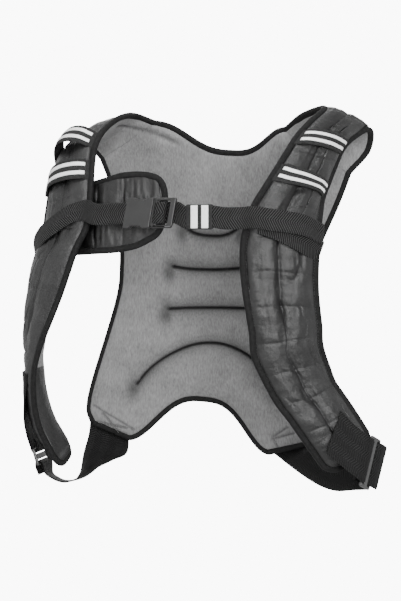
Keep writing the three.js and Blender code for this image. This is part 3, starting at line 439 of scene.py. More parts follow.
def ribbon(node, near, far, flat_width, rests_on, mat, wave, cols=19, sag=([0], [0])):
    """A webbing between two edge lines, with full edges, a soft wave and a hollow across it."""
    name = node + "_cloth"
    mid = (near + far) / 2
    k = lengths(mid)
    x = np.linspace(0, k[-1], max(4, int(k[-1] / 2) + 1))
    a, b = curve(k, near)(x), curve(k, far)(x)
    c = np.linspace(0, 1, cols)
    p = a[:, None, :] + (b - a)[:, None, :] * c[None, :, None]
    up = unit(np.cross((b - a)[:, None, :], tangents(p)))
    width = norm(b - a).mean()
    edge = held(np.minimum(c, 1 - c) * width / 0.55)
    half = (WEB_THICK / 2 * np.sqrt(1 - (1 - edge) ** 2))[None, :]
    lift = (wave * noise(x[:, None] / 16, c[None, :] * 2.2, len(name))
            - np.interp(x, *sag)[:, None] * np.sin(math.pi * c)[None, :] ** 0.7)
    obj = slab(name, p + up * (lift + half)[..., None], p + up * (lift - half)[..., None],
               pair((c * width)[None, :], x[:, None]), [mat])
    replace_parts(obj, node)
    length = float(lengths(resample(mid, 1.0)[1])[-1])


def stitches(name, lines, mat, length, radius, pitch):
    """Short threads along lines of points and normals."""
    points, faces, uv = [], [], []
    tube = quads(4, 6, True)
    for path, normals in lines:
        x, p, nrm = resample(path, 0.5, normals)
        t = tangents(p)
        for s in np.arange(pitch / 2, x[-1], pitch):
            i = int(np.argmin(np.abs(x - s)))
            up = unit(nrm[i])
            side = unit(np.cross(t[i], up))
            base = len(points)
            for along, r, dip in ((-0.5, 0.35, -0.5), (-0.3, 1, 0), (0.3, 1, 0), (0.5, 0.35, -0.5)):
                for k in range(6):
                    a = math.pi * k / 3
                    points.append(p[i] + t[i] * along * length + side * math.cos(a) * radius * r
                                  + up * (math.sin(a) * radius * r + dip * radius))
                    uv.append((k, along * length))
            faces += (base + tube).tolist()
            faces += [[base + k for k in range(6)][::-1], [base + 18 + k for k in range(6)]]
    make(name, np.array(points), faces, np.array(uv), [mat])


# Materials, all of them greys
def grey(v):
    return (v, v, v, 1)


class Shader:
    def __init__(self, name, colour, rough, specular=0.5, sheen=0.0):
        self.m = bpy.data.materials.new(name)
        self.m.use_nodes = True
        self.b = self.m.node_tree.nodes["Principled BSDF"].inputs
        for k, v in (("Base Color", grey(colour)), ("Roughness", rough), ("Specular IOR Level", specular),
                     ("Sheen Weight", sheen)):
            self.b[k].default_value = v

    def new(self, kind, **values):
        n = self.m.node_tree.nodes.new(kind)
        for k, v in values.items():
            if k in n.inputs:
                n.inputs[k].default_value = v
            else:
                setattr(n, k, v)
        return n

    def link(self, a, b):
        self.m.node_tree.links.new(a, b)

    def math(self, op, a, b):
        n = self.new("ShaderNodeMath", operation=op)
        for socket, v in zip(n.inputs, (a, b)):
            if isinstance(v, (int, float)):
                socket.default_value = v
            else:
                self.link(v, socket)
        return n.outputs[0]

    def mixed(self, a, x, b, y):
        return self.math("ADD", self.math("MULTIPLY", a, x), self.math("MULTIPLY", b, y))

    def noise(self, scale, detail, rough, stretch=(1, 1, 1)):
        k = self.new("ShaderNodeMapping", Scale=stretch)
        self.link(self.new("ShaderNodeTexCoord").outputs["Object"], k.inputs["Vector"])
        n = self.new("ShaderNodeTexNoise", Scale=scale, Detail=detail, Roughness=rough)
        self.link(k.outputs[0], n.inputs["Vector"])
        return n.outputs["Fac"]

    def split_uv(self):
        s = self.new("ShaderNodeSeparateXYZ")
        self.link(self.new("ShaderNodeUVMap").outputs["UV"], s.inputs[0])
        return s.outputs["X"], s.outputs["Y"]

    def wave(self, value, period):
        n = self.new("ShaderNodeMath", operation="SINE")
        self.link(self.math("MULTIPLY", value, 2 * math.pi / period), n.inputs[0])
        return n.outputs[0]

    def ramp(self, fac, lo, hi, to_lo, to_hi):
        n = self.new("ShaderNodeMapRange")
        for k, v in (("From Min", lo), ("From Max", hi), ("To Min", to_lo), ("To Max", to_hi)):
            n.inputs[k].default_value = v
        self.link(fac, n.inputs["Value"])
        return n.outputs[0]

    def colours(self, fac, low, high, lo=0.3, hi=0.7, shaded=None):
        """The base colour from low to high, and towards shaded, the colour of painted shade, by the share in
        the mesh's shade attribute.
        """
        r = self.new("ShaderNodeValToRGB")
        for e, position, colour in zip(r.color_ramp.elements, (lo, hi), (low, high)):
            e.position, e.color = position, grey(colour)
        self.link(fac, r.inputs["Fac"])
        if shaded is None:
            self.link(r.outputs["Color"], self.b["Base Color"])
            return
        # Painted shade: the shade attribute mixes the colour towards shaded
        painted_shade = self.new("ShaderNodeAttribute", attribute_name="shade")
        mix = self.new("ShaderNodeMix", data_type="RGBA")
        factor, a, b, out = mix.inputs[0], mix.inputs[6], mix.inputs[7], mix.outputs[2]
        self.link(self.ramp(painted_shade.outputs["Fac"], 0, 1, 0, 1), factor)
        self.link(r.outputs["Color"], a)
        b.default_value = grey(shaded)
        self.link(out, self.b["Base Color"])

    def bump(self, height, distance, strength):
        n = self.new("ShaderNodeBump", Strength=strength, Distance=distance)
        self.link(height, n.inputs["Height"])
        if self.b["Normal"].is_linked:
            self.link(self.b["Normal"].links[0].from_socket, n.inputs["Normal"])
        self.link(n.outputs["Normal"], self.b["Normal"])


def neoprene():
    s = Shader("neoprene", 0.15, 0.85, 0.25, 0.08)
    knit = s.noise(620, 2, 0.6, (1, 1, 0.3))
    # shaded=0.010 is the colour of the painted shade
    s.colours(s.mixed(knit, 0.6, s.noise(34, 4, 0.6), 0.4), 0.105, 0.225, shaded=0.010)
    s.bump(s.noise(60, 3, 0.55), 0.0011, 0.30)
    s.bump(knit, 0.0005, 0.5)
    return s.m


def nylon():
    s = Shader("nylon", 0.012, 0.4)
    # shaded=0.0005 is the colour of the painted shade
    s.colours(s.noise(38, 4, 0.6), 0.003, 0.017, shaded=0.0005)
    s.link(s.ramp(s.noise(120, 3, 0.6), 0.3, 0.7, 0.33, 0.50), s.b["Roughness"])
    u, v = s.split_uv()
    s.bump(s.math("MULTIPLY", s.wave(u, 0.0011), s.wave(v, 0.0011)), 0.00012, 0.5)
    s.bump(s.noise(85, 4, 0.6), 0.0026, 0.45)
    return s.m


def binding():
    s = Shader("binding", 0.006, 0.7, 0.2)
    s.colours(s.noise(300, 2, 0.6), 0.002, 0.008)
    s.bump(s.wave(s.split_uv()[1], 0.0013), 0.00022, 0.6)
    s.bump(s.noise(140, 3, 0.6), 0.0008, 0.35)
    return s.m


def elastic():
    s = Shader("elastic", 0.012, 0.7, 0.25)
    u, v = s.split_uv()
    s.colours(s.noise(500, 2, 0.6), 0.006, 0.020)
    s.bump(s.mixed(s.wave(v, 0.0016), 1, s.wave(u, 0.0012), 0.5), 0.00025, 0.7)
    return s.m


def herringbone(name, columns, dark, light):
    s = Shader(name, 0.02, 0.6, 0.14)
    u, v = s.split_uv()
    lines = s.mixed(v, 1, s.math("PINGPONG", u, columns), 0.62)
    twill = s.math("ADD", s.math("MULTIPLY", s.wave(lines, 0.0027), 0.5), 0.5)
    s.colours(s.mixed(twill, 0.7, s.noise(700, 2, 0.6), 0.3), dark, light, 0.35, 0.9)
    s.bump(twill, 0.0005, 1.0)
    s.bump(s.wave(v, 0.0009), 0.0001, 0.5)
    return s.m


def reflective():
    s = Shader("reflective", 0.8, 0.35, 0.6)
    s.colours(s.noise(700, 2, 0.5), 0.78, 0.90)
    u, v = s.split_uv()
    s.bump(s.math("MULTIPLY", s.wave(u, 0.0008), s.wave(v, 0.0008)), 0.00008, 0.5)
    return s.m


def plastic(name, colour, rough):
    s = Shader(name, colour, rough)
    s.colours(s.noise(60, 3, 0.5), colour * 0.8, colour * 1.25)
    s.link(s.ramp(s.noise(400, 2, 0.6), 0.3, 0.7, rough - 0.06, rough + 0.08), s.b["Roughness"])
    s.bump(s.noise(2600, 1, 0.5), 0.00006, 0.5)
    return s.m


def thread(name, colour):
    s = Shader(name, colour, 0.6, sheen=0.2)
    s.colours(s.noise(1500, 1, 0.5), colour * 0.7, colour * 1.4)
    s.bump(s.noise(2500, 1, 0.5), 0.0001, 0.6)
    return s.m


NEOPRENE, NYLON, TRIM, ELASTIC, REFLECT = neoprene(), nylon(), binding(), elastic(), reflective()
WEB = herringbone("webbing", 0.012, 0.0005, 0.040)
WIDE_WEB = herringbone("wide_webbing", 0.0083, 0.003, 0.013)
PLASTIC, SLIDER_PLASTIC = plastic("plastic", 0.012, 0.42), plastic("slider_plastic", 0.035, 0.32)
GREY_THREAD, PALE_THREAD = thread("grey_thread", 0.03), thread("pale_thread", 0.09)


# Back panel
panel_row = by_row(PANEL_ROWS)
panel_back = curve([r[0] for r in PANEL_CURVE], [[r[1]] for r in PANEL_CURVE])
fold_level, fold_on_strap = curve(*FOLD_ON_PANEL), curve(*FOLD_BESIDE_STRAP)
TOP_ROW = len(PANEL_ROWS) - 1
NO_RUN = (np.zeros((0, 3)), np.zeros((0, 3)))


def past_profile(u):
    """0 up to the profile's share of the half width, 1 at the edge."""
    return held((np.abs(u) - PROFILE_SHARE) / (1 - PROFILE_SHARE))


def panel_flat(u, v):
    """The flat panel's x and z from a share of its half width and a row number."""
    u, v = np.broadcast_arrays(np.asarray(u, float), np.asarray(v, float))
    outer, outer_z, inner, inner_z, mid_z, so, si, sm = np.moveaxis(panel_row(v), -1, 0)
    a, b = np.minimum(1, np.abs(u) / PROFILE_SHARE), past_profile(u)
    wave = ((1 - np.cos(math.pi * a)) / 2) ** 1.55
    ease = lerp(a * a, wave, smooth(np.maximum(1 - v / 1.5, (v - TOP_ROW + 1.5) / 1.5)))
    x = np.where(b > 0, lerp(inner, outer, b), inner * a)
    z = np.where(b > 0, lerp(inner_z, outer_z, b), lerp(mid_z, inner_z, ease))
    sway = np.where(b > 0, lerp(si, so, b), lerp(sm, si, a * a))
    return (np.sign(u) * x + sway) * PANEL_REACH, z * PANEL_HEIGHT


def panel_inset(u, v, inset, side_inset=None):
    """The same, moved in from the edges by an inset, which can differ at the sides."""
    side_inset = inset if side_inset is None else side_inset
    u, v = np.broadcast_arrays(np.asarray(u, float), np.asarray(v, float))
    x, z = panel_flat(u, v)
    e = 0.01
    hem, neck = held(1 - v), held(v - TOP_ROW + 1)
    low, high = panel_flat(np.maximum(u - e, -1), v), panel_flat(np.minimum(u + e, 1), v)
    length = np.hypot(high[0] - low[0], high[1] - low[1])
    on_arm = (np.abs(u) > PROFILE_SHARE + 1e-6) & (neck > 0)
    step = np.where(on_arm, hem, hem - neck)
    x = x - (high[1] - low[1]) / length * inset * step
    z = z + (high[0] - low[0]) / length * inset * step
    side = np.where(u < 0, -1, 1)
    out, inner = panel_flat(side, v), panel_flat(side * PROFILE_SHARE, v)
    edge = np.abs(u) ** 2 * side_inset * 1.06
    span = np.hypot(out[0] - inner[0], out[1] - inner[1])
    dx, dz = (out[0] - inner[0]) / span, (out[1] - inner[1]) / span
    x, z = x - dx * edge, z - dz * edge
    k = np.where(on_arm, inset * (1 - past_profile(u)) * neck, 0)
    return x + dx * k, z + dz * k


def panel_point(x, z):
    """A point of the panel's middle surface from its flat x and z."""
    lean = math.radians(PANEL_LEAN)
    up = z - PANEL_PIVOT
    depth = panel_back(z / PANEL_HEIGHT)[..., 0] * PANEL_DEPTH - PANEL_WRAP * (x / PANEL_REACH) ** 2
    return np.stack([PANEL_OFFSET + x * math.cos(lean) + up * math.sin(lean), depth,
                     PANEL_PIVOT + up * math.cos(lean) - x * math.sin(lean)], -1)


def panel_normal(x, z):
    du = panel_point(x + 1, z) - panel_point(x - 1, z)
    dv = panel_point(x, z + 1) - panel_point(x, z - 1)
    return unit(np.cross(du, dv))


def distance_to(x, z, line):
    """Distance to a line and how far it lies above the point."""
    near, over = np.full(x.shape, 1e9), np.zeros(x.shape)
    for a, b in line:
        d = (x - a) ** 2 + (z - b) ** 2
        over = np.where(d < near, b - z, over)
        near = np.minimum(near, d)
    return np.sqrt(near), over


def seam_depth(x, z):
    """Shares of the soft hollow beside each seam line, the thread's cut, and the painted shade round both,
    stronger below each line and at its ends.
    """
    soft, cut, halo_shade = np.zeros_like(x), np.zeros_like(x), np.zeros_like(x)
    for points, depth in SEAMS:
        line = resample(points, 0.8)[1]
        d, over = distance_to(x, z, line)
        soft = np.maximum(soft, depth * np.exp(-(d / 8.5) ** 1.2))
        cut = np.maximum(cut, depth * bell(d, 1.4))
        # Painted shade round the seam line, stronger below it
        below = smooth(over / 2 + 0.5)
        halo_shade = np.maximum(halo_shade, lerp(0.34 * np.exp(-d / 6.0), 0.86 * np.exp(-d / 9.0), below))
        # Dimples at both ends: soft hollows with painted shade in them
        for end, side in ((line[0], -1), (line[-1], 1)):
            dimple = np.exp(-((x - end[0] - side * 3) / 10) ** 2 - ((z - end[1] + 7) / 15) ** 2)
            soft = np.maximum(soft, 0.42 * dimple)
            halo_shade = np.maximum(halo_shade, 0.72 * dimple)
    return soft, cut, halo_shade


def panel_thickness(u, v):
    """The padding's share of its full thickness."""
    sides = np.maximum(0, 1 - np.abs(u) ** 5) ** 0.5
    ends = np.sqrt(held(v / 0.9) * held((TOP_ROW - v) / 0.8))
    arm = 0.5 * np.sin(math.pi * past_profile(u)) ** 0.6 * smooth(v - TOP_ROW + 1.2)
    return np.maximum(sides * ends, arm)


def spaced(stops, weights, n):
    """n values from the first to the last stop, closer together where the weight is larger."""
    x = np.linspace(stops[0], stops[-1], 4000)
    w = np.interp(x, stops, weights)
    c = np.concatenate([[0], np.cumsum((w[1:] + w[:-1]) / 2)])
    return np.interp(np.linspace(0, c[-1], n), c, x)


def back_panel():
    u, v = np.meshgrid(np.linspace(-1, 1, 151), spaced(*zip(*ROW_WEIGHTS), 300))
    x, z = panel_inset(u, v, 6.0, 5.0)
    full = panel_thickness(u, v)
    soft, cut, halo_shade = seam_depth(x, z)
    boxes = np.zeros_like(x)
    for line in BOX_LINES:
        boxes = np.maximum(boxes, bell(distance_to(x, z, resample(line, 0.8)[1])[0], 1.5))
    loft = (PANEL_LOFT - PANEL_EDGE) * full
    creases = 0.55 * noise(x / 26, z / 38, 3) + 0.3 * noise(x / 11, z / 19, 5)
    below = fold_level(x)[..., 0] - z
    reach = smooth((-x - 38) / 22) * smooth((x + 150) / 12)
    fold = reach * (2.4 * bell(below, 3.2) - 1.2 * bell(below + 8, 5))
    ripples = (1.2 * bell(x - 70 - 0.3 * (z + 14), 1.8) * smooth((z + 28) / 8)
               + bell(x - 79, 1.6) * smooth((z + 16) / 6))
    front = (PANEL_EDGE / 2 + loft * 0.6 + (creases - 9.0 * soft - 2.4 * cut) * np.minimum(1, full * 1.2)
             - (fold + ripples + 1.2 * boxes) * np.minimum(1, full * 3))
    rear = (PANEL_EDGE / 2 + loft * 0.4
            + (0.4 * noise(x / 30, z / 24, 8) - 2.6 * soft - 0.8 * cut) * np.minimum(1, full))
    # Painted shade on the neoprene: the seam cuts get dark colour for their thread and painted shade in the
    # groove, plus painted shade round the seam lines, along the stitched box lines and in the fold below the
    # neckline; the nylon rear gets painted shade in the cuts
    dark = held(0.95 * cut + halo_shade + 0.5 * boxes + 0.5 * reach * bell(below + 0.5, 2.2))
    p, n = panel_point(x, z), panel_normal(x, z)
    obj = slab("back_panel_cloth", p + n * front[..., None], p - n * np.maximum(rear, 1)[..., None],
               pair(x, z), [NEOPRENE, NYLON], (dark, held(0.7 * cut)), crisp=True)
    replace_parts(obj, "back_panel")

def panel_edge(node, stations, before=NO_RUN, after=NO_RUN):
    """The binding along a run of the panel's edge, and the line of its thread."""
    s = np.asarray(stations, float)
    flat = panel_inset(s[:, 0], s[:, 1], BINDING_WIDTH / 2)
    tape(node, np.concatenate([before[0][::-1], panel_point(*flat), after[0]]),
         np.concatenate([before[1][::-1], panel_normal(*flat), after[1]]), *FULL_BINDING)
    flat = panel_inset(s[:, 0], s[:, 1], THREAD_INSET)
    return panel_point(*flat), panel_normal(*flat)


# Shoulder straps
class Strap:
    """A strap's middle surface: s runs down from the panel, u across from the medial edge, h out of it."""

    def __init__(self, side, rows):
        self.side = side
        root = panel_point(*panel_flat(side * PROFILE_SHARE, TOP_ROW))
        m, w = [root], [panel_point(*panel_flat(side, TOP_ROW)) - root]
        for x, y, z, turn, fall, width in rows:
            a, b = math.radians(turn), math.radians(fall)
            d = np.array([side * math.cos(b) * math.cos(a), math.cos(b) * math.sin(a), -math.sin(b)])
            m.append(shared([x, y, z]))
            w.append(d * width * STRAP_WIDTH)
        knots = lengths(np.array(m))
        self.line = curve(knots, np.concatenate([m, w], 1))
        self.length = knots[-1]

    def width(self, s):
        return norm(self.line(s)[..., 3:])

    def frame(self, s, share):
        s, share = np.broadcast_arrays(np.asarray(s, float), np.asarray(share, float))
        here = self.line(s)
        before, after = self.line(np.maximum(0, s - 4)), self.line(np.minimum(self.length, s + 4))
        edge = lambda q: q[..., :3] + q[..., 3:] * share[..., None]
        t = unit(edge(after) - edge(before))
        across = unit(here[..., 3:])
        n = unit(np.cross(t, across) * self.side)
        return here[..., :3], across, n, t, norm(here[..., 3:])

    def point(self, s, u, h):
        s, u, h = np.broadcast_arrays(*(np.asarray(q, float) for q in (s, u, h)))
        m, across, n, t, w = self.frame(s, held(u / self.width(s)))
        return m + across * u[..., None] + n * h[..., None]

    def normal(self, s, u):
        return self.frame(s, held(u / self.width(s)))[2]

    def across_from(self, s, share, distance):
        """The way across the strap that lies a distance from its edge."""
        m, across, n, t, w = self.frame(s, share)
        return distance / np.sqrt(1 - np.sum(t * across, -1) ** 2)


def strap_start(strap, side):
    """The first stretch of a strap's medial or lateral edge, for a tape that runs on to it."""
    s = np.array([1.5, 5.0, 8.5])
    off = strap.across_from(s, side, BINDING_WIDTH / 2)
    u = strap.width(s) - off if side else off
    return strap.point(s, u, 0 * s), -strap.normal(s, u)


def swell(share):
    return np.sin(math.pi * held((share - 0.08) / 0.84)) ** 0.55


def strap_top(share):
    """Height of the strap's outer face over its middle surface."""
    return STRAP_EDGE / 2 + STRAP_FRONT_LOFT * swell(np.asarray(share, float))


def strap_cloth(node, strap, seed):
    bend, stop = strap.length - STRAP_CORNER, strap.length - STRAP_TUCK
    s = np.concatenate([np.linspace(0.2, bend, 430),
                        bend + (stop - bend) * np.sin(np.linspace(0.04, 1, 22) * math.pi / 2)])
    corner = np.maximum(0, s - bend)
    inset = STRAP_CORNER - np.sqrt(np.maximum(0, (STRAP_CORNER - STRAP_TUCK) ** 2 - corner ** 2))
    near, far = strap.across_from(s, 0.0, inset), strap.across_from(s, 1.0, inset)
    width = strap.width(s)
    u = near[:, None] + (width - far - near)[:, None] * np.linspace(0, 1, 79)[None, :]
    S = np.broadcast_to(s[:, None], u.shape)
    share = u / width[:, None]
    base = swell(share) * (1 - 0.8 * smooth((corner - 2) / 10))[:, None] * (0.2 + 0.8 * smooth((S - 45) / 75))
    # Quilting in two columns: distances to the cross seams, the column seam and the edge
    shift = 3.0 * noise(S / 60, share * 2.0, seed) + 1.5 * noise(S / 17, share * 3.0, seed + 1)
    row = (S + shift - 8) / QUILT_PITCH
    dr = np.abs(row - np.round(row)) * QUILT_PITCH
    middle = (QUILT_SEAM_SHARE + 0.026 * noise(s / 26, 0.5, seed + 2)[:, None]
              + 0.008 * noise(s / 8, 0.5, seed + 3)[:, None])
    dc = np.abs(share - middle) * width[:, None]
    de = np.minimum(u, width[:, None] - u)
    cross_dip = 0.30 * np.exp(-(dr / 5.0) ** 1.3) * (1 - 0.4 * bell(de - 8, 9))
    patchy = 0.75 + 0.45 * noise(S / 24, 0.5, seed + 15)
    column_dip = patchy * np.exp(-(dc / 9.0) ** 1.5)
    dip = QUILT_DEPTH * (1.35 * np.maximum(cross_dip, column_dip)) + 0.6 * bell(dr, 1.3) + 0.9 * bell(dc, 1.3)
    # Wrinkles: along the strap, along the cross seams, at the edge, broad ones and a few sharp folds
    pulls = (0.8 * noise(u / 4.6 + 0.6 * noise(S / 14, u / 9, seed + 9), S / 26, seed + 4)
             * (0.45 + 0.55 * np.exp(-(dr / 12) ** 2)))
    gathers = (0.25 * noise(S / 4.4 + 0.9 * noise(S / 11, u / 16, seed + 7), u / 22, seed + 5)
               * np.exp(-(dc / 11) ** 2))
    puckers = 0.4 * noise(S / 2.6, u / 14, seed + 6) * np.exp(-((de - 7) / 9) ** 2)
    broad = 0.9 * noise(S / 22, u / 16, seed + 8) + 0.35 * noise(S / 8, u / 9, seed + 11)
    folds = (-1.5 * bell(noise(u / 13 + 0.5 * noise(S / 30, 0.4, seed + 14), S / 60, seed + 13), 0.12)
             * smooth((share - 0.5) / 0.1))
    k = np.minimum(1, base * 1.1)
    front = (STRAP_EDGE / 2 + STRAP_FRONT_LOFT * base + (0.6 - dip + pulls + gathers + broad + folds) * k
             + puckers * np.minimum(1, k * 2))
    rear = (STRAP_EDGE / 2 + STRAP_BACK_LOFT * base
            + (0.5 * noise(S / 30, u / 20, seed + 12) - 1.6 * cross_dip * 0.5) * k)
    # At the joint it has the thickness and the normals of the panel's arm
    arm = 8.0 * np.sin(math.pi * held(share)) ** 0.6
    joint = smooth(S / 34)
    front = lerp(PANEL_EDGE / 2 + 0.4 * arm, front, joint)
    rear = lerp(PANEL_EDGE / 2 + 0.6 * arm, rear, joint)
    arm_u = strap.side * (PROFILE_SHARE + (1 - PROFILE_SHARE) * share[0])
    at_joint = -panel_normal(*panel_flat(arm_u, TOP_ROW))
    up = unit(lerp(at_joint[None], strap.normal(S, u), smooth(S / 36)[..., None]))
    dark = np.zeros_like(rear)
    # The left strap's rear face gets a fold beside its medial edge, with painted shade (dark) along it
    if strap.side < 0:
        line = u - fold_on_strap(S)[..., 0]
        reach = 1 - smooth((S - 44) / 14)
        rear = rear - reach * (2.4 * bell(line, 3.2) - 1.0 * bell(line + 8, 5))
        dark = 0.5 * reach * bell(line - 0.5, 2.2)
    # Painted shade on the nylon: darkest in the wide valley of the column seam, a little along the cross-seam
    # lines and in streaks along the strap, fading out towards the joint
    streaks = held(0.35 + noise(u / 5 + 0.5 * noise(S / 20, 0.7, seed + 16), S / 34, seed + 17))
    quilt_shade = held(1.1 * patchy * np.exp(-(dc / 9.0) ** 1.5) + 0.2 * np.exp(-(dr / 2.6) ** 1.3)
                 + 0.35 * streaks) * joint
    p = strap.point(S, u, 0 * S)
    obj = slab(node + "_cloth", p + up * front[..., None], p - up * np.maximum(rear, 1)[..., None],
               pair(u, S), [NYLON, NEOPRENE], (quilt_shade, dark), crisp=True)
    if strap.side < 0:
        index = np.empty(len(obj.data.polygons), np.int32)
        obj.data.polygons.foreach_get("material_index", index)
        inner = np.flatnonzero(index == 1)
        index[inner[(S[:-1, :-1] > strap.length - INNER_NYLON).ravel()]] = 0
        obj.data.polygons.foreach_set("material_index", index)
    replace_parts(obj, node)


def strap_edge(node, strap):
    """The binding round a strap, and the line of its thread."""
    bend = strap.length - STRAP_CORNER
    stops = np.linspace(0.2, bend, 150)
    lines = []
    for off in (BINDING_WIDTH / 2, THREAD_INSET):
        radius = STRAP_CORNER - off
        s, u = list(stops), list(strap.across_from(stops, 0.0, off))
        last = float(strap.width(strap.length - off))
        for a in np.radians(np.linspace(8, 90, 12)):
            s.append(bend + radius * math.sin(a))
            u.append(STRAP_CORNER - radius * math.cos(a))
        for a in np.radians(np.linspace(90, 8, 12)):
            s.append(bend + radius * math.sin(a))
            u.append((last + float(strap.width(s[-1]))) / 2 - STRAP_CORNER + radius * math.cos(a))
        back = stops[::-1]
        s = np.array(s + list(back))
        u = np.array(u + list(strap.width(back) - strap.across_from(back, 1.0, off)))
        lines.append((strap.point(s, u, 0.0 * s), strap.normal(s, u)))
    tape(node, *lines[0], *FULL_BINDING)
    return lines[1]


back_panel()
STRAPS = {"left": Strap(-1, STRAP_LEFT), "right": Strap(1, STRAP_RIGHT)}
neck_end = PROFILE_SHARE - 0.008
edge_lines = [
    panel_edge("binding_neck", [(u, TOP_ROW) for u in np.linspace(-neck_end, neck_end, 59)],
               strap_start(STRAPS["left"], 0), strap_start(STRAPS["right"], 0)),
    panel_edge("binding_hem", [(u, 0) for u in np.linspace(-1, 1, 111)]),
]
for word, strap in STRAPS.items():
    stations = [(strap.side, v) for v in np.linspace(0, TOP_ROW - 0.02, 150)]
    edge_lines.append(panel_edge("binding_side_" + word, stations, after=strap_start(strap, 1)))
for word, strap in STRAPS.items():
    strap_cloth("strap_" + word, strap, STRAP_SEEDS[word])
    edge_lines.append(strap_edge("binding_strap_" + word, strap))

box_threads = []
for line in BOX_LINES:
    q = resample(line, 1.5)[1]
    n = panel_normal(q[:, 0], q[:, 1])
    lift = PANEL_EDGE / 2 + 0.6 * (PANEL_LOFT - PANEL_EDGE) * 0.55 - 0.7
    box_threads.append((panel_point(q[:, 0], q[:, 1]) + n * lift, n))
stitches("corner_stitching", box_threads, PALE_THREAD, 2.6, 0.4, 3.1)
thread_lines = [(p + unit(n) * (BINDING_THICK / 2 - 0.35), n) for p, n in edge_lines]
stitches("binding_stitching", thread_lines, GREY_THREAD, 2.2, 0.28, 3.2)


# Elastic loops
def loop_points(strap, medial, lateral, stand_off, beside, offsets):
    """Control points of a loop: a row for each station along it, a column for each offset across it."""
    sewn = [[1 - share, -beyond, level] for share, beyond, level in SEWN_END[::-1]]
    out = []
    for share, beyond, level in SEWN_END + LOOP_MIDDLE + (LOOSE_END if stand_off else sewn):
        s = lerp(medial, lateral, share) * DROP + offsets
        width = strap.width(s)
        u = share * width + beyond * (beside if beyond == SIDE_GAP else 1)
        arch = LOOP_STAND_OFF * stand_off * math.sin(math.pi * min(1, max(0, share)))
        h = strap_top(u / width) + 1.2 + LOOP_THICK / 2 if level == 1 else np.full_like(s, level)
        out.append(strap.point(s, u, h + arch))
    return np.array(out)


def full_edges(count, steps):
    """Shares of a tape's thickness across it, rounded over some steps at both edges."""
    i = np.arange(count)
    return np.sqrt(held(np.minimum(i, count - 1 - i) / steps))


def cells(values, grid):
    """The cell of each value in a rising grid, and its share of that cell."""
    f = np.interp(values, grid, np.arange(len(grid)))
    i = np.clip(f.astype(int), 0, len(grid) - 2)
    return i, f - i


def loop(node, side, medial, lateral, stand_off, beside):
    strap = STRAPS[side]
    offsets = np.linspace(-LOOP_WIDTH / 2, LOOP_WIDTH / 2, 25)
    control = loop_points(strap, medial, lateral, stand_off, beside, offsets)
    k = lengths(control[:, 12])
    x = np.linspace(0, k[-1], 96)
    dense = np.stack([curve(k, control[:, j])(x) for j in range(len(offsets))], 1)
    normal = unit(np.cross(np.gradient(dense, axis=0), np.gradient(dense, axis=1)))
    out = strap.normal(np.full(1, (medial + lateral) / 2 * DROP), np.full(1, 40.0))[0]
    if np.dot(normal[40, 12], out) < 0:
        normal = -normal
    edge = held((LOOP_WIDTH / 2 - np.abs(offsets)) / 0.8)
    half = (LOOP_THICK / 2 * np.sqrt(1 - (1 - edge) ** 2))[None, :]
    ripple = 0.22 * noise(x[:, None] / 9, offsets[None, :] / 9, len(node) + medial * 50)
    obj = slab(node + "_cloth", dense + normal * (ripple + half)[..., None],
               dense + normal * (ripple - half)[..., None], pair(offsets[None, :], x[:, None]),
               [ELASTIC])
    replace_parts(obj, node)
    surface = dense + normal * (ripple + LOOP_THICK / 2)[..., None]
    xs = np.linspace(k[2] * 0.75 + k[1] * 0.25, k[7] * 0.75 + k[8] * 0.25, 60)
    for word, place in (("top", -1), ("bottom", 1)):
        lanes = place * STRIPE_SPACING / 2 + np.linspace(-STRIPE_WIDTH / 2, STRIPE_WIDTH / 2, 9)
        (i, a), (j, b) = cells(xs, x), cells(lanes, offsets)
        a, b = a[:, None, None], b[None, :, None]
        between = lambda row: lerp(row[:, j], row[:, j + 1], b)
        pick = lambda g: lerp(between(g[i]), between(g[i + 1]), a)
        p, n = pick(surface), unit(pick(normal))
        rise = 0.45 * full_edges(9, 1.2)[None, :, None]
        stripe = slab(f"{node}_stripe_{word}_tape", p + n * (0.12 + rise), p + n * 0.05,
                      pair(lanes[None, :], xs[:, None]), [REFLECT])
        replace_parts(stripe, f"{node}_stripe_{word}")


for row in LOOPS:
    loop(*row)


# Chest webbing
FRONT, RIGHT, UP = np.array([0, -1.0, 0]), np.array([1.0, 0, 0]), np.array([0, 0, 1.0])


def on_strap(strap, rows):
    r = np.array(rows)
    share = r[:, 1]
    m, across, n, t, w = strap.frame(r[:, 0] * DROP, share)
    return m + across * (share * w)[:, None] + n * (strap_top(share) + r[:, 2])[:, None], n


def web_across(p, n):
    """Directions across a web; where it dives round an edge they stay those of the row before."""
    t = tangents(p)
    a = unit(np.cross(t, n))
    steady = np.flatnonzero(np.abs(np.sum(t * unit(n), -1)) < 0.6)
    return a[steady[np.argmin(np.abs(np.arange(len(p))[:, None] - steady[None, :]), axis=1)]]


def chest_web(node, p, n, wave, hook=None, beside=None):
    """A web over a strap; the rows that a slice names go round a bar of the buckle and take its slant."""
    a = web_across(p, n)
    if hook:
        a[hook] = -SLANTED if np.dot(a[beside], SLANTED) < 0 else SLANTED
    ribbon(node, p + a * CHEST_WEB_WIDTH / 2, p - a * CHEST_WEB_WIDTH / 2, CHEST_WEB_WIDTH,
           ["strap_left", "strap_right"], WEB, wave)


def hooked(c, a, n, reach, back):
    """A path round a bar at c: it comes along -a in front of the bar and goes back behind it."""
    return np.array([c + n * reach - a * reach, c + n * reach, c + (n + a) * reach * 0.7, c + a * reach,
                     c + (a - n) * reach * 0.7, c - n * reach, c - n * reach - a * back])


buckle, keeper = shared(BUCKLE_CENTRE), shared(KEEPER_CENTRE)
SOCKET_BAR, PLUG_BAR = -SOCKET_LENGTH + 8.6, 8.0
HOOK = WEB_THICK / 2 + SLIDER_BAR / 2 + 0.9
SLANTED = unit(np.array([BUCKLE_SLANT, 0, 1.0]))

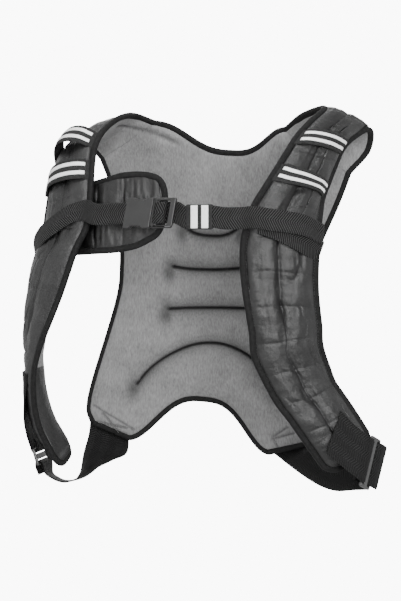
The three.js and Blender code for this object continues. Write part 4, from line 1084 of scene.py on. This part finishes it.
p, n = on_strap(STRAPS["left"], CHEST_LEFT_ON_STRAP)
hook = hooked(buckle + RIGHT * SOCKET_BAR, RIGHT, FRONT, HOOK, 14)
chest_web("chest_web_left", np.concatenate([p, shared(CHEST_FREE_LEFT), hook]),
          np.concatenate([n, np.tile(FRONT, (9, 1))]), 0.25, slice(-7, None), -9)

p, n = on_strap(STRAPS["right"], CHEST_RIGHT_ON_STRAP)
hook = hooked(buckle + RIGHT * PLUG_BAR, -RIGHT, -FRONT, HOOK, 7.5)[::-1]
beside_keeper = RIGHT * (KEEPER_LENGTH / 2 + 2)
p = np.concatenate([[hook[0] + RIGHT * 2.6 - FRONT * 4.5], hook,
                    [buckle + RIGHT * (PLUG_LENGTH + 5) - FRONT * HOOK],
                    [keeper - beside_keeper, keeper + beside_keeper], shared(CHEST_FREE_RIGHT), p])
chest_web("chest_web_right", p, np.concatenate([np.tile(FRONT, (13, 1)), n]), 0.25, slice(0, 8), 10)
chest_web("chest_web_tail", *on_strap(STRAPS["right"], CHEST_TAIL_ON_STRAP), 0.2)


# Hard plates with rounded edges, in a frame of three axes
def rounded(ring, radius):
    """The corners of a polygon replaced by short arcs."""
    out = []
    for i, corner in enumerate(ring):
        c = np.array(corner[:2], float)
        r = corner[2] if len(corner) > 2 else radius
        a, b = np.array(ring[i - 1][:2], float) - c, np.array(ring[(i + 1) % len(ring)][:2], float) - c
        la, lb = norm(a), norm(b)
        r = min(r, la * 0.45, lb * 0.45)
        p0, p1 = c + a / la * r, c + b / lb * r
        out += [tuple((1 - t) ** 2 * p0 + 2 * t * (1 - t) * c + t * t * p1) for t in np.linspace(0, 1, 6)]
    return out


def plate(name, outline, holes, depth, bevel, centre, x_axis, z_axis, y_axis, mat, shift=0.0, corner=1.5):
    data = bpy.data.curves.new(name, "CURVE")
    data.dimensions, data.fill_mode = "2D", "BOTH"
    for ring in [outline, *holes]:
        ring = rounded(ring, corner)
        spline = data.splines.new("POLY")
        spline.points.add(len(ring) - 1)
        for point, (x, z) in zip(spline.points, ring):
            point.co = (x, z, 0, 1)
        spline.use_cyclic_u = True
    data.extrude, data.bevel_depth, data.bevel_resolution, data.offset = depth / 2 - bevel, bevel, 3, -bevel
    helper = add(name + "_helper", data)
    bpy.context.view_layer.update()
    me = bpy.data.meshes.new_from_object(helper.evaluated_get(bpy.context.evaluated_depsgraph_get()))
    bpy.data.objects.remove(helper)
    co = np.array([v.co for v in me.vertices])
    pts = (centre + co[:, :1] * x_axis + co[:, 1:2] * z_axis + (co[:, 2:3] + shift) * y_axis) * MM
    me.vertices.foreach_set("co", pts.ravel())
    me.name = name
    me.materials.clear()
    me.materials.append(mat)
    obj = finished(name, me, 1e-6)
    flat = [abs(np.dot(f.normal, y_axis)) > 0.999 for f in me.polygons]
    me.polygons.foreach_set("use_smooth", np.ones(len(me.polygons), bool))
    me.set_sharp_from_angle(angle=math.radians(40))
    beside = {}
    for f, is_flat in zip(me.polygons, flat):
        for key in f.edge_keys:
            beside.setdefault(key, set()).add(bool(is_flat))
    for e in me.edges:
        if len(beside[e.key]) == 2:
            e.use_edge_sharp = True
    return obj


def rect(x0, x1, z0, z1):
    return [(x0, z0), (x1, z0), (x1, z1), (x0, z1)]


H, T = BUCKLE_HEIGHT / 2, BUCKLE_THICK / 2
on_buckle = (buckle, RIGHT, UP + BUCKLE_SLANT * RIGHT, FRONT, PLASTIC)
left_end, seam = -SOCKET_LENGTH + 3, 3
socket = [(left_end, -H), (NOTCH_FROM - 1, -H), (NOTCH_FROM, -H + NOTCH_DEEP), (NOTCH_TO, -H + NOTCH_DEEP),
          (NOTCH_TO + 1, -H), (seam, -H), (seam, H), (NOTCH_TO + 3, H), (NOTCH_TO + 2, H - NOTCH_DEEP),
          (NOTCH_FROM + 2, H - NOTCH_DEEP), (NOTCH_FROM + 1, H), (left_end, H)]
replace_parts(plate("socket_face", socket, [], 2.6, 0.8, *on_buckle, shift=T - 1.3), "buckle_socket")
plate("socket_back", socket, [], 2.4, 0.7, *on_buckle, shift=-T + 1.2)
plate("socket_core", rect(-SOCKET_LENGTH + 13, 2.4, -H + 3.4, H - 3.4), [], 5.0, 0.5, *on_buckle)
end, slot = seam + PLUG_LENGTH, CHEST_WEB_WIDTH / 2 + 1
holes = [rect(4.4, PLUG_BAR - 1.5, -slot, slot), rect(PLUG_BAR + 1.5, end - 6.2, -slot, slot)]
frame_ring = [(3.6, -H), (end, -H, 3), (end, H, 3), (3.6, H)]
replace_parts(plate("plug_frame", frame_ring, holes, 5.4, 1.2, *on_buckle), "buckle_plug")
for word, sign in (("upper", 1), ("lower", -1)):
    prong = [(x, sign * (H - down)) for x, down in PRONG][::sign]
    plate("plug_prong_" + word, prong, [], 3.4, 0.7, *on_buckle)


# Keeper: an elastic sleeve round the webbing
ring_y, ring_z, wall = WEB_THICK / 2 + 1.2, CHEST_WEB_WIDTH / 2 + 1.1, 1.2
a = np.linspace(0, 2 * math.pi, 49)
flat_y, flat_z = squared(np.sin(a), 0.35) * ring_y, squared(np.cos(a), 0.18) * ring_z
xs = np.linspace(-KEEPER_LENGTH / 2, KEEPER_LENGTH / 2, 31)
hug = 1 - 0.03 * bell(xs, 9)[:, None]
ring = (keeper + xs[:, None, None] * RIGHT
        + (flat_y[None, :, None] * FRONT + (flat_z[None, :] * hug)[..., None] * UP))
out = unit(np.sin(a)[None, :, None] / ring_y * FRONT + np.cos(a)[None, :, None] / ring_z * UP + 0 * ring)
edge = full_edges(31, 2.0)[:, None, None]
round_len = lengths(pair(flat_y, flat_z))
obj = slab("keeper_cloth", ring + out * wall / 2 * edge, ring - out * wall / 2 * edge,
           pair(xs[:, None], round_len[None, :]), [ELASTIC])
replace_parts(obj, "keeper")
zs = np.linspace(-12.3, 12.3, 25)
for word, x0 in (("left", -5.2), ("right", 6.6)):
    xs = x0 + np.linspace(-KEEPER_STRIPE_WIDTH / 2, KEEPER_STRIPE_WIDTH / 2, 11)
    y = ring_y + wall / 2 + 0.25 + 0.12 * noise(zs / 7, 0.5, x0)
    g = keeper + xs[:, None, None] * RIGHT + zs[None, :, None] * UP + y[None, :, None] * FRONT
    rise = full_edges(11, 1.2)[:, None, None] * 0.3
    obj = slab(f"keeper_stripe_{word}_tape", g + FRONT * rise, g - FRONT * 0.2,
               pair(xs[:, None], zs[None, :]), [REFLECT])
    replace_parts(obj, f"keeper_stripe_{word}")


# Buckle pad
pad_curve = by_row(PAD_COLUMNS)
PAD_LAST = len(PAD_COLUMNS) - 1


def pad_point(c, r):
    k = pad_curve(c)
    return (k[..., 3:] + (k[..., :3] - k[..., 3:]) * np.asarray(r)[..., None]) * [HALF_SPAN, HALF_DEPTH, DROP]


pc = np.linspace(0, PAD_LAST - 0.55, 150)
C, R = np.meshgrid(pc, np.linspace(0, 1, 90), indexing="ij")
height = norm(pad_point(pc, pc * 0 + 1) - pad_point(pc, pc * 0))
inset = ((5.5 + 20 * smooth((pc - PAD_LAST + 1.35) / 0.8) ** 2.5) / height)[:, None]
p = pad_point(C, inset + (1 - 2 * inset) * R)
puff = np.sin(math.pi * held(R)) ** 0.5 * (1 - 0.7 * smooth((C - PAD_LAST + 1.1) / 0.6))
x, z = p[..., 0], p[..., 2]
bump = (0.7 * np.cos(C * 4.2) + 1.9 * noise(x / 7 + 0.8 * noise(z / 18, 0.3, 71), z / 26, 70)
        + 1.1 * noise(x / 3.4, z / 15, 72) - 2.6 * bell(x + 126 + 1.5 * noise(z / 14, 0, 73), 1.8)
        - 2.2 * bell(x + 91 + 2 * noise(z / 12, 0, 74), 1.8) + 0.5 * noise(x / 14, z / 6, 75))
half = 1.2 + (PAD_THICK / 2 - 1.2) * puff
# Painted shade on the pad's front: darker all over, and more in the hollows of its bumps
pad = slab("buckle_pad_cloth", p + FRONT * (half + bump * puff * 0.75)[..., None],
           p - FRONT * (half - 0.3 * bump * puff)[..., None], pair(x, z), [NYLON],
           (held(0.8 - 0.3 * bump), 0 * bump))
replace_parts(pad, "buckle_pad")
cs = np.linspace(0, PAD_LAST - 1.0, 26)
tip = np.array([[PAD_LAST - 0.25 + c, r] for c, r in PAD_TIP])
edge = np.concatenate([pad_point(cs, cs * 0 + 1) - UP * BINDING_WIDTH / 2, pad_point(tip[:, 0], tip[:, 1]),
                       (pad_point(cs, cs * 0) + UP * BINDING_WIDTH / 2)[::-1]])
tape("binding_pad", edge, np.tile(FRONT, (len(edge), 1)), *PAD_BINDING)


# Lower adjusters
def slider_axes(at, run, wide):
    w = unit(np.array(wide, float))
    n = unit(np.cross(run, w))
    return shared(at), np.cross(w, n), n, w


def slider(node, spec):
    centre, a, n, w = slider_axes(*spec)
    w2, l2 = SLIDER_WIDTH / 2, SLIDER_LENGTH / 2
    o = w2 - 3.4
    holes = [rect(-l2 + SLIDER_BAR, -SLIDER_MIDDLE, -o, o), rect(SLIDER_MIDDLE, l2 - SLIDER_BAR, -o, o)]
    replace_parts(plate(node + "_frame", rect(-l2, l2, -w2, w2), holes, SLIDER_BAR + 0.4, 1.3, centre, a, w, n,
                      SLIDER_PLASTIC, corner=2.6), node)


def side_web(node, rails, spec, end, flip=1, **options):
    """A wide web between two rails that ends round the outer (1) or inner (-1) bar of a slider."""
    centre, a, n, w = slider_axes(*spec)
    hook = hooked(centre + a * end * (SLIDER_LENGTH / 2 - SLIDER_BAR / 2), a * -end, n * end, HOOK, 12)
    near, far = (np.concatenate([rail, hook + way * flip * w * SIDE_WEB_WIDTH / 2])
                 for rail, way in zip(rails, (-1, 1)))
    ribbon(node, near, far, float(norm(far - near).mean()), ["slider_" + node.split("_")[-1]],
           WIDE_WEB, 0.3, 27, **options)


def rails(rows, count):
    q = by_row(rows)(np.linspace(0, len(rows) - 1, count))
    return shared(q[:, :3]), shared(q[:, 3:])


slider("slider_left", SLIDER_LEFT)
slider("slider_right", SLIDER_RIGHT)
r = np.array(TONGUE_LEFT)
m, across, n, t, w = STRAPS["left"].frame(r[:, 0] * DROP, 0.5)
h = (strap_top(0.5) + r[:, 2] - np.array(TONGUE_SINK))[:, None]
edges = [m + across * ((r[:, 1] * w)[:, None] + wide) + n * h for wide in (0, SIDE_WEB_WIDTH)]
side_web("tongue_left", edges, SLIDER_LEFT, -1, sag=TONGUE_SAG)
side_web("tongue_right", rails(TONGUE_RIGHT, 3), SLIDER_RIGHT, -1)
side_web("side_web_left", rails(SIDE_WEB_LEFT, 15), SLIDER_LEFT, 1)
side_web("side_web_right", rails(SIDE_WEB_RIGHT, 14), SLIDER_RIGHT, 1, -1)


# Stage, light and camera
def bowl():
    """A floor that curves up into a wall, which is seen but doesn't light the object."""
    turn = np.linspace(0.1, 1, 14) * math.pi / 2
    r = np.concatenate([[0.001], np.linspace(1, 5, 12), 5 + 2.5 * np.sin(turn), [7.5] * 6])
    z = np.concatenate([np.zeros(13), 2.5 - 2.5 * np.cos(turn), np.linspace(3, 8, 6)]) - 1.25
    a = np.linspace(0, 2 * math.pi, 64, endpoint=False)
    pts = np.stack([r[:, None] * np.cos(a), r[:, None] * np.sin(a), z[:, None] + 0 * a], -1).reshape(-1, 3)
    me = bpy.data.meshes.new("floor")
    me.from_pydata(pts.tolist(), [], quads(len(r), 64, True)[:, ::-1].tolist())
    m = bpy.data.materials.new("floor")
    m.use_nodes = True
    b = m.node_tree.nodes["Principled BSDF"].inputs
    for k, v in (("Base Color", grey(0.6)), ("Roughness", 0.9), ("Emission Color", grey(1)),
                 ("Emission Strength", 9.0)):
        b[k].default_value = v
    me.materials.append(m)
    me.polygons.foreach_set("use_smooth", np.ones(len(me.polygons), bool))
    obj = add("floor", me)
    obj.visible_diffuse = obj.visible_glossy = False


bowl()
world = bpy.data.worlds.new("world")
world.use_nodes = True
sky = world.node_tree.nodes["Background"].inputs
sky["Color"].default_value, sky["Strength"].default_value = grey(1), 0.95
bpy.context.scene.world = world
for name, at, size, power in LIGHTS:
    light = bpy.data.lights.new(name, "AREA")
    light.shape, light.size, light.energy = "DISK", size, power
    obj = add(name, light)
    obj.location = at
    obj.rotation_euler = (Vector(LIT_POINT) - Vector(at)).to_track_quat("-Z", "Y").to_euler()

data = bpy.data.cameras.new("camera")
data.sensor_width, data.lens = 36, 93.8
camera = add("camera", data)
camera.location = (0.4095, -1.7582, -0.199)
camera.rotation_euler = (math.pi / 2, 0, math.radians(14))
bpy.context.scene.camera = camera
